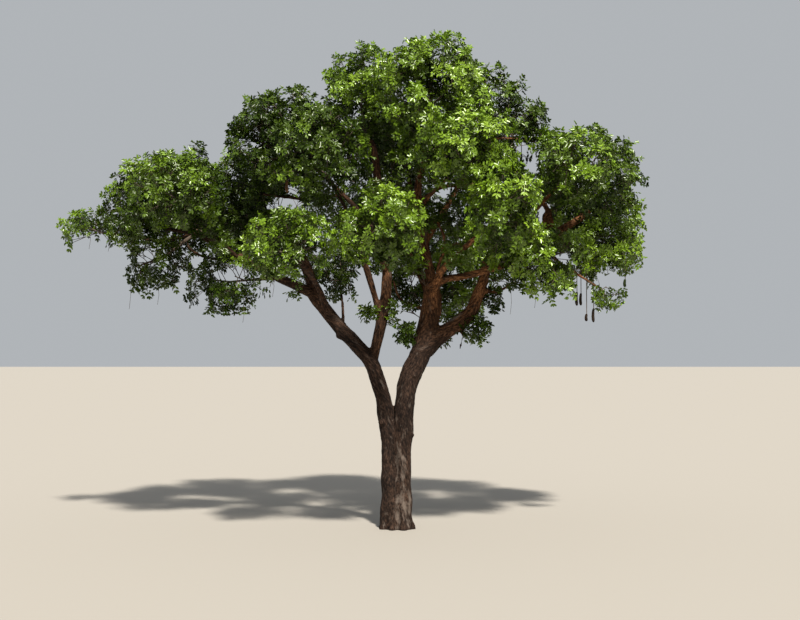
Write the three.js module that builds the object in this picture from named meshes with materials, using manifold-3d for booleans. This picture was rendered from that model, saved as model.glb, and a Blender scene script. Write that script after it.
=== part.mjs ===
// A sausage tree: a trunk of two stems grown together, the boughs and branches that leave it, and the masses
// of foliage that they carry, each one stem that branches into twigs and bears sprays of leaves. Long fruits
// hang from some of the masses on cords.
// Millimetres, +Z up, +X to the tree's right and +Y to its back. The origin is under the trunk, in the middle
// of its flat cut at ground level.
import * as THREE from "three";
import { mergeVertices } from "three/addons/utils/BufferGeometryUtils.js";
import Module from "manifold-3d";

const wasm = await Module();
wasm.setup();
const { Manifold, Mesh } = wasm;

// Driving dimensions. The tables give places, reaches and radii in metres, which METRE turns into millimetres.
const METRE = 1000;
const GROUND = 0;
const SEAT_GAP = 0.3; // between a limb and the one that it continues
const CUT_GAP = 0.36; // between a limb and one that it leaves from the side
const MASS_GAP = 12; // each mass stays this far inside its own space
const LIMB_CLEAR = 15; // a twig or a spray keeps this far from every limb but its own stem's

// The limbs' shapes.
const TRUNK_SIDES = 10;
const TRUNK_STEPS = 7;
const LIMB_SIDES = { thick: 8, middling: 6, thin: 5 };
const THICK_FROM = 140; // a limb's radius at its foot
const MIDDLING_FROM = 90;
const STEP_LENGTH = 700;
const ENTRY = 0.72; // a bough ends this far out in its mass, as a share of the mass's reach

// The twigs, which have three sides.
const STEM_LENGTH = 0.3; // of the mass's mean reach
const STEM_RADIUS = 0.9; // of its bough's tip
const TUFT_STEM_LENGTH = 0.7; // of the way from the bough's middle to the mass's middle
const FORK_SHARE = 0.4; // how far a twig that forks goes towards the middle of its tips
const LAST_SHARE = 0.72; // and a twig that bears sprays
const TWIG_TAPER = 0.78;
const TWIG_THINNEST = 14;
const CHILD_RADIUS = 0.72; // of its parent's, where a twig leaves from a fork
const CHILD_SUNK = 0.5; // of its parent's radius, back inside the fork

// The sprays, each a blade of eight faces.
const SPRAYS_ON_TWIG = 8;
const FIRST_SPRAY = 0.3; // of the twig's length
const LAST_SPRAY = 0.96;
const BLADE_WIDTH = 0.86; // of its length
const BLADE_THICK = 0.022; // of its length
const BLADE_WIDEST_AT = 0.4; // past its middle, in half lengths
const LONGEST_BLADE = 1400;
const ROOT_OUT = 0.35; // of the twig's radius, from its axis to a blade's root
const ROLL = 0.9; // of a blade about its own length, either way
const SHORTEN = [1, 0.85, 0.7]; // tried in turn, until the blade crosses no other
const TIP_SPREAD = { round: 0.3, low: 0.86, high: 0.98 }; // of the sprays' tips, round and out
const FIRST_SEED = 17;
const SEED_STEP = 7919;

// Dull brown-grey bark, and leaves with a slight gloss.
const BARK = { color: 0x5a4a3c, roughness: 0.95, metalness: 0 };
const LEAF = { color: 0x4f7a1f, roughness: 0.6, metalness: 0 };

// The trunk: two stems that touch from the ground to their parting, each by its places and radii on the way up.
const TRUNK_STEMS = {
  trunk_west: [
    { at: [-0.13, 0.02, -0.3], radius: 0.36 },
    { at: [-0.13, 0.02, 0.05], radius: 0.31 },
    { at: [-0.15, 0.02, 0.5], radius: 0.25 },
    { at: [-0.17, 0.02, 1.3], radius: 0.225 },
    { at: [-0.2, 0.03, 2.2], radius: 0.225 },
    { at: [-0.31, 0.04, 3.05], radius: 0.22 },
    { at: [-0.37, 0.05, 3.4], radius: 0.21 },
  ],
  trunk_east: [
    { at: [0.12, -0.03, -0.3], radius: 0.34 },
    { at: [0.12, -0.03, 0.05], radius: 0.29 },
    { at: [0.13, -0.03, 0.5], radius: 0.24 },
    { at: [0.14, -0.04, 1.3], radius: 0.225 },
    { at: [0.16, -0.05, 2.2], radius: 0.235 },
    { at: [0.19, -0.06, 3.05], radius: 0.26 },
    { at: [0.22, -0.07, 3.4], radius: 0.26 },
  ],
};

// The masses of foliage: the middle of each, how far it reaches each way, and how many sprays it has.
const MASSES = {
  west_tip: { at: [-8.2, 0.1, 7.82], reach: [0.78, 0.8, 0.55], sprays: 8 },
  west_outer: { at: [-6.56, -0.2, 8.45], reach: [1.18, 1.7, 1.42], sprays: 20 },
  west_crest: { at: [-5.7, 0.9, 8.8], reach: [1.4, 1.9, 1.5], sprays: 20 },
  west_front: { at: [-5.4, -2.2, 8.45], reach: [1.25, 1.35, 1.0], sprays: 18 },
  west_droop: { at: [-6.38, 0.3, 6.97], reach: [0.92, 0.9, 0.92], sprays: 13 },
  west_hang: { at: [-4.5, -0.3, 6.42], reach: [1.2, 0.95, 0.86], sprays: 16 },
  northwest: { at: [-2.92, -0.5, 10.06], reach: [1.46, 1.8, 1.6], sprays: 23 },
  northwest_low: { at: [-4.0, 1.3, 8.95], reach: [1.6, 1.8, 1.6], sprays: 19 },
  top_west: { at: [-1.05, 0.9, 11.33], reach: [1.36, 1.7, 1.72], sprays: 22 },
  top_centre: { at: [1.0, -0.5, 11.18], reach: [1.86, 1.8, 1.78], sprays: 33 },
  top_east: { at: [2.6, 0.9, 10.88], reach: [1.68, 1.8, 1.6], sprays: 24 },
  east_upper: { at: [5.0, -0.1, 9.13], reach: [1.7, 1.8, 1.46], sprays: 24 },
  east_low: { at: [5.5, 0.7, 7.79], reach: [1.35, 1.8, 1.4], sprays: 21 },
  east_front: { at: [4.35, -2.4, 9.1], reach: [1.15, 1.3, 0.95], sprays: 16 },
  east_droop: { at: [5.5, -0.3, 6.12], reach: [0.42, 0.48, 0.44], sprays: 7 },
  southeast: { at: [3.68, -1.3, 7.0], reach: [1.36, 1.35, 1.22], sprays: 20 },
  centre_hang: { at: [-1.59, 1.1, 6.76], reach: [0.82, 0.95, 0.9], sprays: 12 },
  centre_low: { at: [1.6, 1.3, 6.75], reach: [1.2, 1.2, 1.45], sprays: 16 },
  centre_deep: { at: [0.28, 0.95, 6.5], reach: [0.62, 0.8, 1.1], sprays: 10 },
  front_west: { at: [-2.57, -2.9, 7.07], reach: [1.2, 1.4, 0.95], sprays: 18 },
  front_centre: { at: [-0.34, -3.3, 7.5], reach: [1.24, 1.34, 0.96], sprays: 18 },
  front_east: { at: [2.6, -3.0, 7.9], reach: [0.95, 1.4, 1.2], sprays: 17 },
  front_top: { at: [1.79, -2.4, 9.41], reach: [1.5, 1.6, 1.15], sprays: 20 },
  front_northwest: { at: [-1.92, -2.2, 9.38], reach: [1.34, 1.5, 1.25], sprays: 18 },
  back_west: { at: [-4.1, 3.2, 8.5], reach: [2.0, 2.0, 1.4], sprays: 20 },
  back_centre: { at: [-0.2, 3.9, 8.6], reach: [2.2, 1.9, 1.8], sprays: 20 },
  back_east: { at: [3.2, 3.3, 8.5], reach: [2.3, 2.0, 1.7], sprays: 20 },
  back_top: { at: [0.2, 2.7, 10.7], reach: [2.1, 1.8, 1.6], sprays: 20 },
  tuft_fork: { at: [0.22, -0.35, 5.08], reach: [0.27, 0.36, 0.27], sprays: 4 },
  tuft_east: { at: [2.04, -0.2, 5.2], reach: [0.42, 0.4, 0.44], sprays: 6 },
  tuft_bend: { at: [2.66, 0.1, 6.02], reach: [0.4, 0.38, 0.4], sprays: 5 },
};

// The limbs: what each leaves and at what share of its length, the mass or the place that it ends in, its radii
// from foot to tip, and the places that it passes through.
const LIMBS = [
  { name: "bough_west", from: "trunk_west", share: 1, end: [-2.22, -0.05, 6.12],
    radii: [0.205, 0.205, 0.19, 0.185, 0.17],
    through: [[-0.68, 0.05, 4.3], [-1.12, 0.02, 4.82], [-1.58, 0, 5.34]] },
  { name: "bough_west_far", from: "bough_west", share: 1, into: "west_outer",
    radii: [0.135, 0.08], through: [[-2.7, -0.1, 6.36], [-3.4, -0.1, 6.68], [-4.35, 0, 7.22]] },
  { name: "bough_centre_west", from: "bough_west", share: 0.27, end: [-0.26, 0.12, 6.6],
    radii: [0.13, 0.135, 0.15, 0.15, 0.12],
    through: [[-0.52, 0.08, 4.9], [-0.4, 0.1, 5.43], [-0.31, 0.12, 5.96]] },
  { name: "leader_west", from: "bough_centre_west", share: 1, into: "top_west",
    radii: [0.12, 0.125, 0.12, 0.085], through: [[-0.31, 0.12, 7.4], [-0.48, 0.1, 8.8], [-0.6, 0.2, 9.9]] },
  { name: "bough_centre", from: "trunk_east", share: 1, end: [0.92, -0.1, 6.4],
    radii: [0.26, 0.285, 0.28, 0.25, 0.19],
    through: [[0.31, -0.07, 3.9], [0.56, -0.07, 4.45], [0.83, -0.08, 5.43]] },
  { name: "leader_centre", from: "bough_centre", share: 1, into: "top_centre",
    radii: [0.14, 0.09], through: [[0.7, 0, 7.6], [0.55, 0, 8.8]] },
  { name: "bough_east", from: "bough_centre", share: 0.42, end: [2.28, -0.05, 6.5],
    radii: [0.29, 0.215, 0.18, 0.14], through: [[1.15, -0.1, 5.03], [1.9, -0.1, 5.6]] },
  { name: "bough_east_far", from: "bough_east", share: 1, into: "east_low",
    radii: [0.14, 0.1], through: [[2.5, 0, 7.15], [3.1, 0.1, 7.5]] },
  { name: "bough_east_low", from: "bough_centre", share: 0.97, into: "southeast",
    radii: [0.11, 0.07], through: [[1.3, -0.35, 6.5], [1.73, -0.6, 6.54]] },
  { name: "branch_west_tip", from: "bough_west_far", share: 0.86, into: "west_tip",
    radii: [0.055, 0.03], through: [[-6.2, 0.1, 7.55]] },
  { name: "branch_west_front", from: "bough_west_far", share: 0.45, into: "west_front",
    radii: [0.075, 0.045], through: [[-4.2, -0.8, 7.1]] },
  { name: "branch_west_hang", from: "bough_west_far", share: 0.24, into: "west_hang",
    radii: [0.08, 0.045], through: [[-3.3, -0.2, 6.52]] },
  { name: "branch_northwest", from: "leader_west", share: 0.2, into: "northwest",
    radii: [0.08, 0.05], through: [[-1.0, 0, 8.3], [-1.8, -0.2, 9.1]] },
  { name: "branch_northwest_low", from: "bough_west", share: 0.96, into: "northwest_low",
    radii: [0.12, 0.1, 0.06], through: [[-2.3, 0.1, 6.55], [-2.5, 0.2, 7.05], [-2.9, 0.6, 7.8]] },
  { name: "branch_front_west", from: "bough_west", share: 0.8, into: "front_west",
    radii: [0.09, 0.05], through: [[-2.05, -0.8, 6.3]] },
  { name: "branch_centre_hang", from: "bough_west", share: 0.62, into: "centre_hang",
    radii: [0.05, 0.035], through: [[-1.45, 0.35, 5.85]] },
  { name: "branch_front_centre", from: "leader_west", share: 0.05, into: "front_centre",
    radii: [0.08, 0.05], through: [[-0.4, -0.6, 7.0]] },
  { name: "branch_front_northwest", from: "bough_centre_west", share: 0.5, into: "front_northwest",
    radii: [0.085, 0.08, 0.045], through: [[-0.64, -0.1, 6.25], [-0.82, -0.4, 6.85], [-1.1, -0.9, 7.8]] },
  { name: "branch_front_top", from: "leader_centre", share: 0.35, into: "front_top",
    radii: [0.08, 0.045], through: [[0.7, -0.7, 8.4]] },
  { name: "branch_top_east", from: "leader_centre", share: 0.3, into: "top_east",
    radii: [0.1, 0.055], through: [[1.4, 0.2, 8.6]] },
  { name: "branch_front_east", from: "bough_centre", share: 0.93, into: "front_east",
    radii: [0.1, 0.055], through: [[1.3, -0.9, 6.85]] },
  { name: "branch_east_upper", from: "bough_east_far", share: 0.86, into: "east_upper",
    radii: [0.09, 0.05], through: [[3.9, 0.05, 8.15]] },
  { name: "branch_east_front", from: "bough_east_far", share: 0.35, into: "east_front",
    radii: [0.08, 0.045], through: [[3.1, -0.8, 7.7]] },
  { name: "branch_east_droop", from: "bough_east_far", share: 0.75, into: "east_droop",
    radii: [0.065, 0.028], through: [[4.2, -0.1, 7.0], [4.75, -0.25, 6.6]] },
  { name: "branch_back_west", from: "bough_west", share: 0.88, into: "back_west",
    radii: [0.12, 0.06], through: [[-2.4, 1.1, 6.7]] },
  { name: "branch_back_centre", from: "bough_centre", share: 0.86, into: "back_centre",
    radii: [0.12, 0.06], through: [[0.6, 1.2, 6.8]] },
  { name: "branch_back_east", from: "bough_east", share: 0.9, into: "back_east",
    radii: [0.11, 0.055], through: [[2.4, 1.0, 6.9]] },
  { name: "branch_back_top", from: "leader_centre", share: 0.2, into: "back_top",
    radii: [0.09, 0.05], through: [[0.5, 0.8, 8.1]] },
];

// The masses that sprout from a bough's side: the bough, the share of its length, and the stem's radius.
const TUFTS = [
  { mass: "west_crest", from: "bough_west_far", share: 0.8, stem: 0.05 },
  { mass: "west_droop", from: "bough_west_far", share: 0.86, stem: 0.05 },
  { mass: "centre_low", from: "bough_centre", share: 0.92, stem: 0.045 },
  { mass: "centre_deep", from: "bough_centre", share: 0.72, stem: 0.03 },
  { mass: "tuft_fork", from: "bough_centre", share: 0.5, stem: 0.022 },
  { mass: "tuft_east", from: "bough_east", share: 0.62, stem: 0.022 },
  { mass: "tuft_bend", from: "bough_east", share: 0.82, stem: 0.022 },
];

// The fruits: the mass that each hangs from, the place of its top end, and its length.
const FRUITS = [
  { mass: "east_low", top: [4.76, 0.6, 6.2], length: 0.36 },
  { mass: "east_low", top: [4.92, 0.85, 6.2], length: 0.33 },
  { mass: "east_low", top: [5.08, 0.5, 5.62], length: 0.2 },
  { mass: "east_low", top: [5.22, 0.75, 5.78], length: 0.38 },
  { mass: "east_low", top: [6.0, 0.6, 6.56], length: 0.24 },
  { mass: "northwest", top: [-2.86, -0.4, 9.1], length: 0.36 },
  { mass: "top_east", top: [3.4, 0.9, 9.95], length: 0.3 },
];
const FRUIT_GIRTHS = [0.04, 0.05, 0.02]; // radii below its neck, low on its belly and at its tip
const FRUIT_PLACES = [0.15, 0.8, 1]; // where they are, of its length
const FRUIT_SIDES = 5;
const CORD_RADIUS = 0.011;
const CORD_BEND = 0.75; // of the height from the fruit to its fork

const place = (at) => new THREE.Vector3(...at).multiplyScalar(METRE);
const sumOf = (points) => points.reduce((sum, point) => sum.add(point), new THREE.Vector3());
const meanOf = (points) => sumOf(points).divideScalar(points.length);

// A seeded draw between low and high, the same on every run.
function drawsFrom(seed) {
  let state = seed >>> 0;
  return (low, high) => {
    state = (state + 0x6d2b79f5) >>> 0;
    let mixed = Math.imul(state ^ (state >>> 15), state | 1);
    mixed ^= mixed + Math.imul(mixed ^ (mixed >>> 7), mixed | 61);
    return low + (((mixed ^ (mixed >>> 14)) >>> 0) / 4294967296) * (high - low);
  };
}

// A closed three.js geometry as a solid that can be joined and cut.
function solidOf(geometry) {
  geometry.deleteAttribute("normal");
  geometry.deleteAttribute("uv");
  const merged = mergeVertices(geometry, 1e-3);
  const vertProperties = merged.attributes.position.array;
  return new Manifold(new Mesh({ numProp: 3, vertProperties, triVerts: new Uint32Array(merged.index.array) }));
}

// The largest body of a solid, as a mesh with a node's name.
function nodeOf(name, solid, finish) {
  const [whole] = solid.decompose().sort((a, b) => b.volume() - a.volume());
  const { vertProperties, triVerts } = whole.getMesh();
  const geometry = new THREE.BufferGeometry()
    .setAttribute("position", new THREE.BufferAttribute(vertProperties, 3))
    .setIndex(new THREE.BufferAttribute(triVerts, 1));
  geometry.computeVertexNormals();
  const mesh = new THREE.Mesh(geometry, new THREE.MeshStandardMaterial(finish));
  mesh.name = name;
  return mesh;
}

// A cylinder bent through a row of points, with its radius at each.
function tube(points, girths, sides) {
  const steps = points.length - 1;
  const directions = points.slice(1).map((point, i) => point.clone().sub(points[i]).normalize());
  const across = new THREE.Vector3(0.36, 0.48, 0.8);
  const rings = points.map((middle, i) => {
    const along = directions[Math.max(i - 1, 0)].clone().add(directions[Math.min(i, steps - 1)]).normalize();
    across.addScaledVector(along, -across.dot(along)).normalize();
    return { middle, radius: girths[i], across: across.clone(), beside: along.cross(across) };
  });
  const geometry = new THREE.CylinderGeometry(1, 1, 1, sides, steps);
  const position = geometry.attributes.position;
  const vertex = new THREE.Vector3();
  for (let i = 0; i < position.count; i++) {
    vertex.fromBufferAttribute(position, i);
    const ring = rings[Math.round((vertex.y + 0.5) * steps)];
    const moved = ring.middle
      .clone()
      .addScaledVector(ring.across, vertex.x * ring.radius)
      .addScaledVector(ring.beside, -vertex.z * ring.radius);
    position.setXYZ(i, moved.x, moved.y, moved.z);
  }
  return geometry;
}

// A value read between the entries of a list that is spread evenly from 0 to 1.
function between(list, share) {
  const spot = share * (list.length - 1);
  const low = Math.min(Math.floor(spot), list.length - 2);
  return list[low] + (list[low + 1] - list[low]) * (spot - low);
}

// The space of each mass: an ellipsoid cut by a plane towards every other mass, so that no two spaces meet.
const ellipsoidReach = (direction, reach) => 1 / direction.clone().divide(reach).length();

function spaceOf(name) {
  const centre = place(MASSES[name].at);
  const reach = place(MASSES[name].reach);
  const cuts = Object.keys(MASSES)
    .filter((other) => other !== name)
    .map((other) => {
      const towards = place(MASSES[other].at).sub(centre);
      const distance = towards.length();
      const normal = towards.normalize();
      const larger = ellipsoidReach(normal, reach) - ellipsoidReach(normal, place(MASSES[other].reach));
      return { normal, distance: (distance + larger) / 2 };
    });
  return { centre, reach, cuts };
}

function spaceReach(space, direction) {
  const toCuts = space.cuts
    .map(({ normal, distance }) => ({ facing: normal.dot(direction), distance }))
    .filter(({ facing }) => facing > 1e-6)
    .map(({ facing, distance }) => distance / facing);
  return Math.min(ellipsoidReach(direction, space.reach), ...toCuts);
}

function isInside(space, point) {
  const away = point.clone().sub(space.centre);
  const inEllipsoid = away.clone().divide(space.reach).length() < 1;
  return inEllipsoid && space.cuts.every(({ normal, distance }) => normal.dot(away) < distance - MASS_GAP);
}

// Each limb as a curve, which ends where it enters its mass, and as a row of points along it.
const curves = {};
const rows = {};
const radii = {};
function layLimb(name, points, girths, fixedSteps) {
  const curve = new THREE.CatmullRomCurve3(points, false, "catmullrom", 0.5);
  const steps = fixedSteps ?? Math.max(3, Math.round(curve.getLength() / STEP_LENGTH));
  curves[name] = curve;
  rows[name] = Array.from({ length: steps + 1 }, (_, i) => curve.getPointAt(i / steps));
  radii[name] = girths.map((radius) => radius * METRE);
}
for (const [name, rings] of Object.entries(TRUNK_STEMS)) {
  const points = rings.map(({ at }) => place(at));
  layLimb(name, points, rings.map(({ radius }) => radius), TRUNK_STEPS);
}
for (const { name, from, share, through, end, into, radii: girths } of LIMBS) {
  const points = [curves[from].getPointAt(share), ...through.map(place)];
  if (into) {
    const centre = place(MASSES[into].at);
    const back = points.at(-1).clone().sub(centre).normalize();
    const entry = ENTRY * ellipsoidReach(back, place(MASSES[into].reach));
    points.push(centre.addScaledVector(back, entry));
  } else {
    points.push(place(end));
  }
  layLimb(name, points, girths);
}

const headingOf = (name, from, to) => rows[name].at(to).clone().sub(rows[name].at(from)).normalize();

function sidesOf(name) {
  if (name in TRUNK_STEMS) return TRUNK_SIDES;
  if (radii[name][0] > THICK_FROM) return LIMB_SIDES.thick;
  return radii[name][0] > MIDDLING_FROM ? LIMB_SIDES.middling : LIMB_SIDES.thin;
}

// A limb's solid, larger all round by extra.
function limbSolid(name, extra) {
  const row = rows[name];
  const girths = row.map((_, i) => between(radii[name], i / (row.length - 1)) + extra);
  return solidOf(tube(row, girths, sidesOf(name)));
}

// The trunk's two stems as one solid, cut flat at ground level.
function trunkSolid(extra) {
  const stems = Object.keys(TRUNK_STEMS).map((name) => limbSolid(name, extra));
  return Manifold.union(stems).trimByPlane([0, 0, 1], GROUND);
}

// One limb, cut clear of all that was there before it, and the larger one that later limbs are cut by.
function makeLimb({ name, from, share }, before) {
  let solid = limbSolid(name, 0);
  if (share === 1) {
    const along = headingOf(from, -2, -1);
    solid = solid.trimByPlane(along.toArray(), along.dot(rows[from].at(-1)) + SEAT_GAP);
  }
  for (const other of before) solid = solid.subtract(other);
  const wide = limbSolid(name, CUT_GAP);
  const ahead = wide.translate(headingOf(name, -2, -1).multiplyScalar(CUT_GAP).toArray());
  const behind = wide.translate(headingOf(name, 1, 0).multiplyScalar(CUT_GAP).toArray());
  return { solid, grown: Manifold.union([wide, ahead, behind]) };
}

const tree = new THREE.Group();
const grownLimbs = [trunkSolid(CUT_GAP)];
const limbSolids = [trunkSolid(0)];
tree.add(nodeOf("trunk", limbSolids[0], BARK));
for (const limb of LIMBS) {
  const { solid, grown } = makeLimb(limb, grownLimbs);
  grownLimbs.push(grown);
  limbSolids.push(solid);
  tree.add(nodeOf(limb.name, solid, BARK));
}
const allLimbs = Manifold.union(limbSolids);

// A spray of leaves as one flat blade, widest past its middle, with its flat side towards facing.
function blade(root, tip, facing) {
  const middle = root.clone().lerp(tip, 0.5);
  const along = tip.clone().sub(root);
  const half = along.length() / 2;
  along.normalize();
  const across = new THREE.Vector3().crossVectors(along, facing).normalize();
  const out = new THREE.Vector3().crossVectors(across, along);
  const geometry = new THREE.OctahedronGeometry(1, 0);
  const position = geometry.attributes.position;
  for (let i = 0; i < position.count; i++) {
    const forward = Math.abs(position.getY(i)) > 0.5 ? position.getY(i) : BLADE_WIDEST_AT;
    const moved = middle
      .clone()
      .addScaledVector(across, position.getX(i) * BLADE_WIDTH * half)
      .addScaledVector(along, forward * half)
      .addScaledVector(out, position.getZ(i) * BLADE_THICK * half);
    position.setXYZ(i, moved.x, moved.y, moved.z);
  }
  return geometry;
}

// The tips of a mass's sprays: evenly round its middle, each near the edge of its space.
function tipsOf(space, count, draw) {
  const turn = Math.PI * (3 - Math.sqrt(5));
  return Array.from({ length: count }, (_, i) => {
    const up = 1 - (2 * i + 1) / count;
    const flat = Math.sqrt(1 - up * up);
    const round = i * turn + draw(-TIP_SPREAD.round, TIP_SPREAD.round);
    const direction = new THREE.Vector3(flat * Math.cos(round), flat * Math.sin(round), up).normalize();
    const out = spaceReach(space, direction) * draw(TIP_SPREAD.low, TIP_SPREAD.high);
    return space.centre.clone().addScaledVector(direction, out);
  });
}

// The tips in two halves, across the axis along which they lie furthest apart.
function halves(tips) {
  const size = new THREE.Box3().setFromPoints(tips).getSize(new THREE.Vector3()).toArray();
  const axis = size.indexOf(Math.max(...size));
  const sorted = [...tips].sort((a, b) => a.getComponent(axis) - b.getComponent(axis));
  const middle = Math.ceil(sorted.length / 2);
  return [sorted.slice(0, middle), sorted.slice(middle)];
}

const isClear = (solid, others, gap) => others.every((other) => solid.minGap(other, gap) >= gap);

// The solid of a mass, whose stem runs from foot to stemEnd and is cut clear of the limbs by cut.
function makeMass(name, foot, stemEnd, stemRadius, cut) {
  const space = spaceOf(name);
  const draw = drawsFrom(Object.keys(MASSES).indexOf(name) * SEED_STEP + FIRST_SEED);
  const twigs = [];
  const blades = [];
  const forks = [];

  function staysInside(geometry) {
    const { position } = geometry.attributes;
    const corners = Array.from({ length: position.count }, (_, i) => i);
    return corners.every((i) => isInside(space, new THREE.Vector3().fromBufferAttribute(position, i)));
  }

  // The sprays of one twig leave it in turn, the lowest first. One that would leave the mass's space, or
  // touch a limb, another twig or another spray, is shortened or skipped.
  function bearSprays(base, end, radius, tips) {
    const heading = end.clone().sub(base).normalize();
    const sorted = [...tips].sort((a, b) => a.dot(heading) - b.dot(heading));
    const otherTwigs = twigs.slice(0, -1);
    sorted.forEach((tip, i) => {
      const share = tips.length === 1 ? 1 : FIRST_SPRAY + ((1 - FIRST_SPRAY) * i) / (tips.length - 1);
      const root = base.clone().lerp(end, share * LAST_SPRAY);
      const away = tip.clone().sub(root);
      const length = Math.min(away.length(), LONGEST_BLADE);
      away.normalize();
      root.addScaledVector(away, radius * ROOT_OUT);
      const facing = heading.clone().applyAxisAngle(away, draw(-ROLL, ROLL));
      for (const part of SHORTEN) {
        const geometry = blade(root, root.clone().addScaledVector(away, length * part), facing);
        const fits = staysInside(geometry);
        const solid = solidOf(geometry);
        if (fits && isClear(solid, [allLimbs], LIMB_CLEAR) && isClear(solid, [...blades, ...otherTwigs], 1)) {
          blades.push(solid);
          return;
        }
      }
    });
  }

  // A run of twig forks between the halves of its tips: it bends on towards one half, and a new run leaves
  // it for the other. Its last stretch bears the sprays.
  function run(path, tips, cutRun, clear) {
    const left = [];
    let own = tips;
    while (own.length > SPRAYS_ON_TWIG) {
      const { at, radius } = path.at(-1);
      const fork = at.clone().lerp(meanOf(own), FORK_SHARE);
      path.push({ at: fork, radius: Math.max(radius * TWIG_TAPER, TWIG_THINNEST) });
      const [one, other] = halves(own);
      left.push({ step: path.length - 1, tips: other });
      own = one;
    }
    const { at: base, radius: baseRadius } = path.at(-1);
    const end = base.clone().lerp(meanOf(own), LAST_SHARE);
    const endRadius = Math.max(baseRadius * TWIG_TAPER, TWIG_THINNEST);
    path.push({ at: end, radius: endRadius });
    const points = path.map(({ at }) => at);
    const solid = cutRun(solidOf(tube(points, path.map(({ radius }) => radius), 3)));
    if (!isClear(solid, [allLimbs], clear)) return;
    twigs.push(solid);
    forks.push(...points.slice(1, -1));
    bearSprays(base, end, endRadius, own);
    for (const { step, tips: others } of left) leaveFork(path[step], points[step - 1], others);
  }

  function leaveFork({ at, radius }, before, tips) {
    const back = before.clone().sub(at).normalize();
    const start = at.clone().addScaledVector(back, radius * CHILD_SUNK);
    run([{ at: start, radius: radius * CHILD_RADIUS }], tips, (solid) => solid, LIMB_CLEAR);
  }

  const [one, other] = halves(tipsOf(space, MASSES[name].sprays, draw));
  const stemTip = { at: stemEnd, radius: stemRadius * TWIG_TAPER };
  run([{ at: foot, radius: stemRadius }, stemTip], one, cut, 0);
  leaveFork(stemTip, foot, other);

  // Each fruit hangs on a cord from the nearest fork above it.
  for (const { top, length } of FRUITS.filter((fruit) => fruit.mass === name)) {
    const neck = place(top);
    const aside = ({ x, y }) => Math.hypot(x - neck.x, y - neck.y);
    const [fork] = forks.filter(({ z }) => z > neck.z).sort((a, b) => aside(a) - aside(b));
    const bend = neck.clone().setZ(neck.z + (fork.z - neck.z) * CORD_BEND);
    const rings = FRUIT_PLACES.map((share) => neck.clone().setZ(neck.z - share * length * METRE));
    const girths = [CORD_RADIUS, CORD_RADIUS, CORD_RADIUS, ...FRUIT_GIRTHS].map((girth) => girth * METRE);
    twigs.push(solidOf(tube([fork, bend, neck, ...rings], girths, FRUIT_SIDES)));
  }
  return Manifold.union([...twigs, ...blades]).simplify(0.5);
}

for (const { name, into } of LIMBS.filter((limb) => limb.into)) {
  const heading = headingOf(name, -2, -1);
  const foot = rows[name].at(-1).clone().addScaledVector(heading, SEAT_GAP);
  const [across, , tall] = MASSES[into].reach;
  const stemEnd = foot.clone().addScaledVector(heading, (STEM_LENGTH * METRE * (across + tall)) / 2);
  const solid = makeMass(into, foot, stemEnd, radii[name].at(-1) * STEM_RADIUS, (stem) => stem);
  tree.add(nodeOf(into, solid, LEAF));
}

const cutByLimbs = (stem) => grownLimbs.reduce((left, limb) => left.subtract(limb), stem);
for (const { mass, from, share, stem } of TUFTS) {
  const foot = curves[from].getPointAt(share);
  const stemEnd = foot.clone().lerp(place(MASSES[mass].at), TUFT_STEM_LENGTH);
  tree.add(nodeOf(mass, makeMass(mass, foot, stemEnd, stem * METRE, cutByLimbs), LEAF));
}

export default tree;
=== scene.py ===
import math

import bmesh
import bpy
import numpy as np
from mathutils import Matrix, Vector, noise
from mathutils.kdtree import KDTree


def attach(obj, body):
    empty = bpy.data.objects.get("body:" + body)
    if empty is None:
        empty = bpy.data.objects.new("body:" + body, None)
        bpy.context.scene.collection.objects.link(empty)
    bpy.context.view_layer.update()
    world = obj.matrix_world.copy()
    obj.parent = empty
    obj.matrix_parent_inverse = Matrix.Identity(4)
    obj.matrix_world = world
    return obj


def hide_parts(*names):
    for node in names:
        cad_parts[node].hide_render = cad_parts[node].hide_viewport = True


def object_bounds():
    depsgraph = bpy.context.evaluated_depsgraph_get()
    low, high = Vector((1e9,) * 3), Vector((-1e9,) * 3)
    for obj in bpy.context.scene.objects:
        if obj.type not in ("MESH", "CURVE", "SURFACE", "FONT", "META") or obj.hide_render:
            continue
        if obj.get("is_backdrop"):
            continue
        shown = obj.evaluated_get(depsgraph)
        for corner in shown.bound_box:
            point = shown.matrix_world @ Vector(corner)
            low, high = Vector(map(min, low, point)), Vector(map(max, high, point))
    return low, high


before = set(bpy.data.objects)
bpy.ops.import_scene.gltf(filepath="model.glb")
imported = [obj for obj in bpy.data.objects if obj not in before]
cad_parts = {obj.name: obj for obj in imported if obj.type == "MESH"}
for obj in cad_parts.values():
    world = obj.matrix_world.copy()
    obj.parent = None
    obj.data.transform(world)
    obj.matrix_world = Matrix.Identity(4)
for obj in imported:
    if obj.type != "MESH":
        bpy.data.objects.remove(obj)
cad_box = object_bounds()

# The tree stands on a plain pale floor. The camera is some four metres up and just under thirty off, and
# looks slightly up. The light is soft: an even pale sky and a broad lamp high in front of the tree.
PHOTO_WIDTH = 800
FOCAL_PIXELS = 1099
SENSOR_WIDTH = 36
EYE = (0.08, -28.9, 4.33)
EYE_TILT = 2.71  # degrees above level
SKY_COLOUR = (0.78, 0.82, 0.86, 1)
SKY_STRENGTH = 0.56
LAMP_STRENGTH = 7.2
LAMP_WIDTH = 4  # degrees across, seen from the tree
LAMP_COLOUR = (1.0, 0.95, 0.86)
LAMP_TILT = (39, 13)  # degrees from straight overhead, towards the front and to the side
FLOOR_SIDE = 2400
FLOOR_COLOUR = (0.34, 0.315, 0.28)
FLOOR_ROUGHNESS = 0.9

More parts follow.
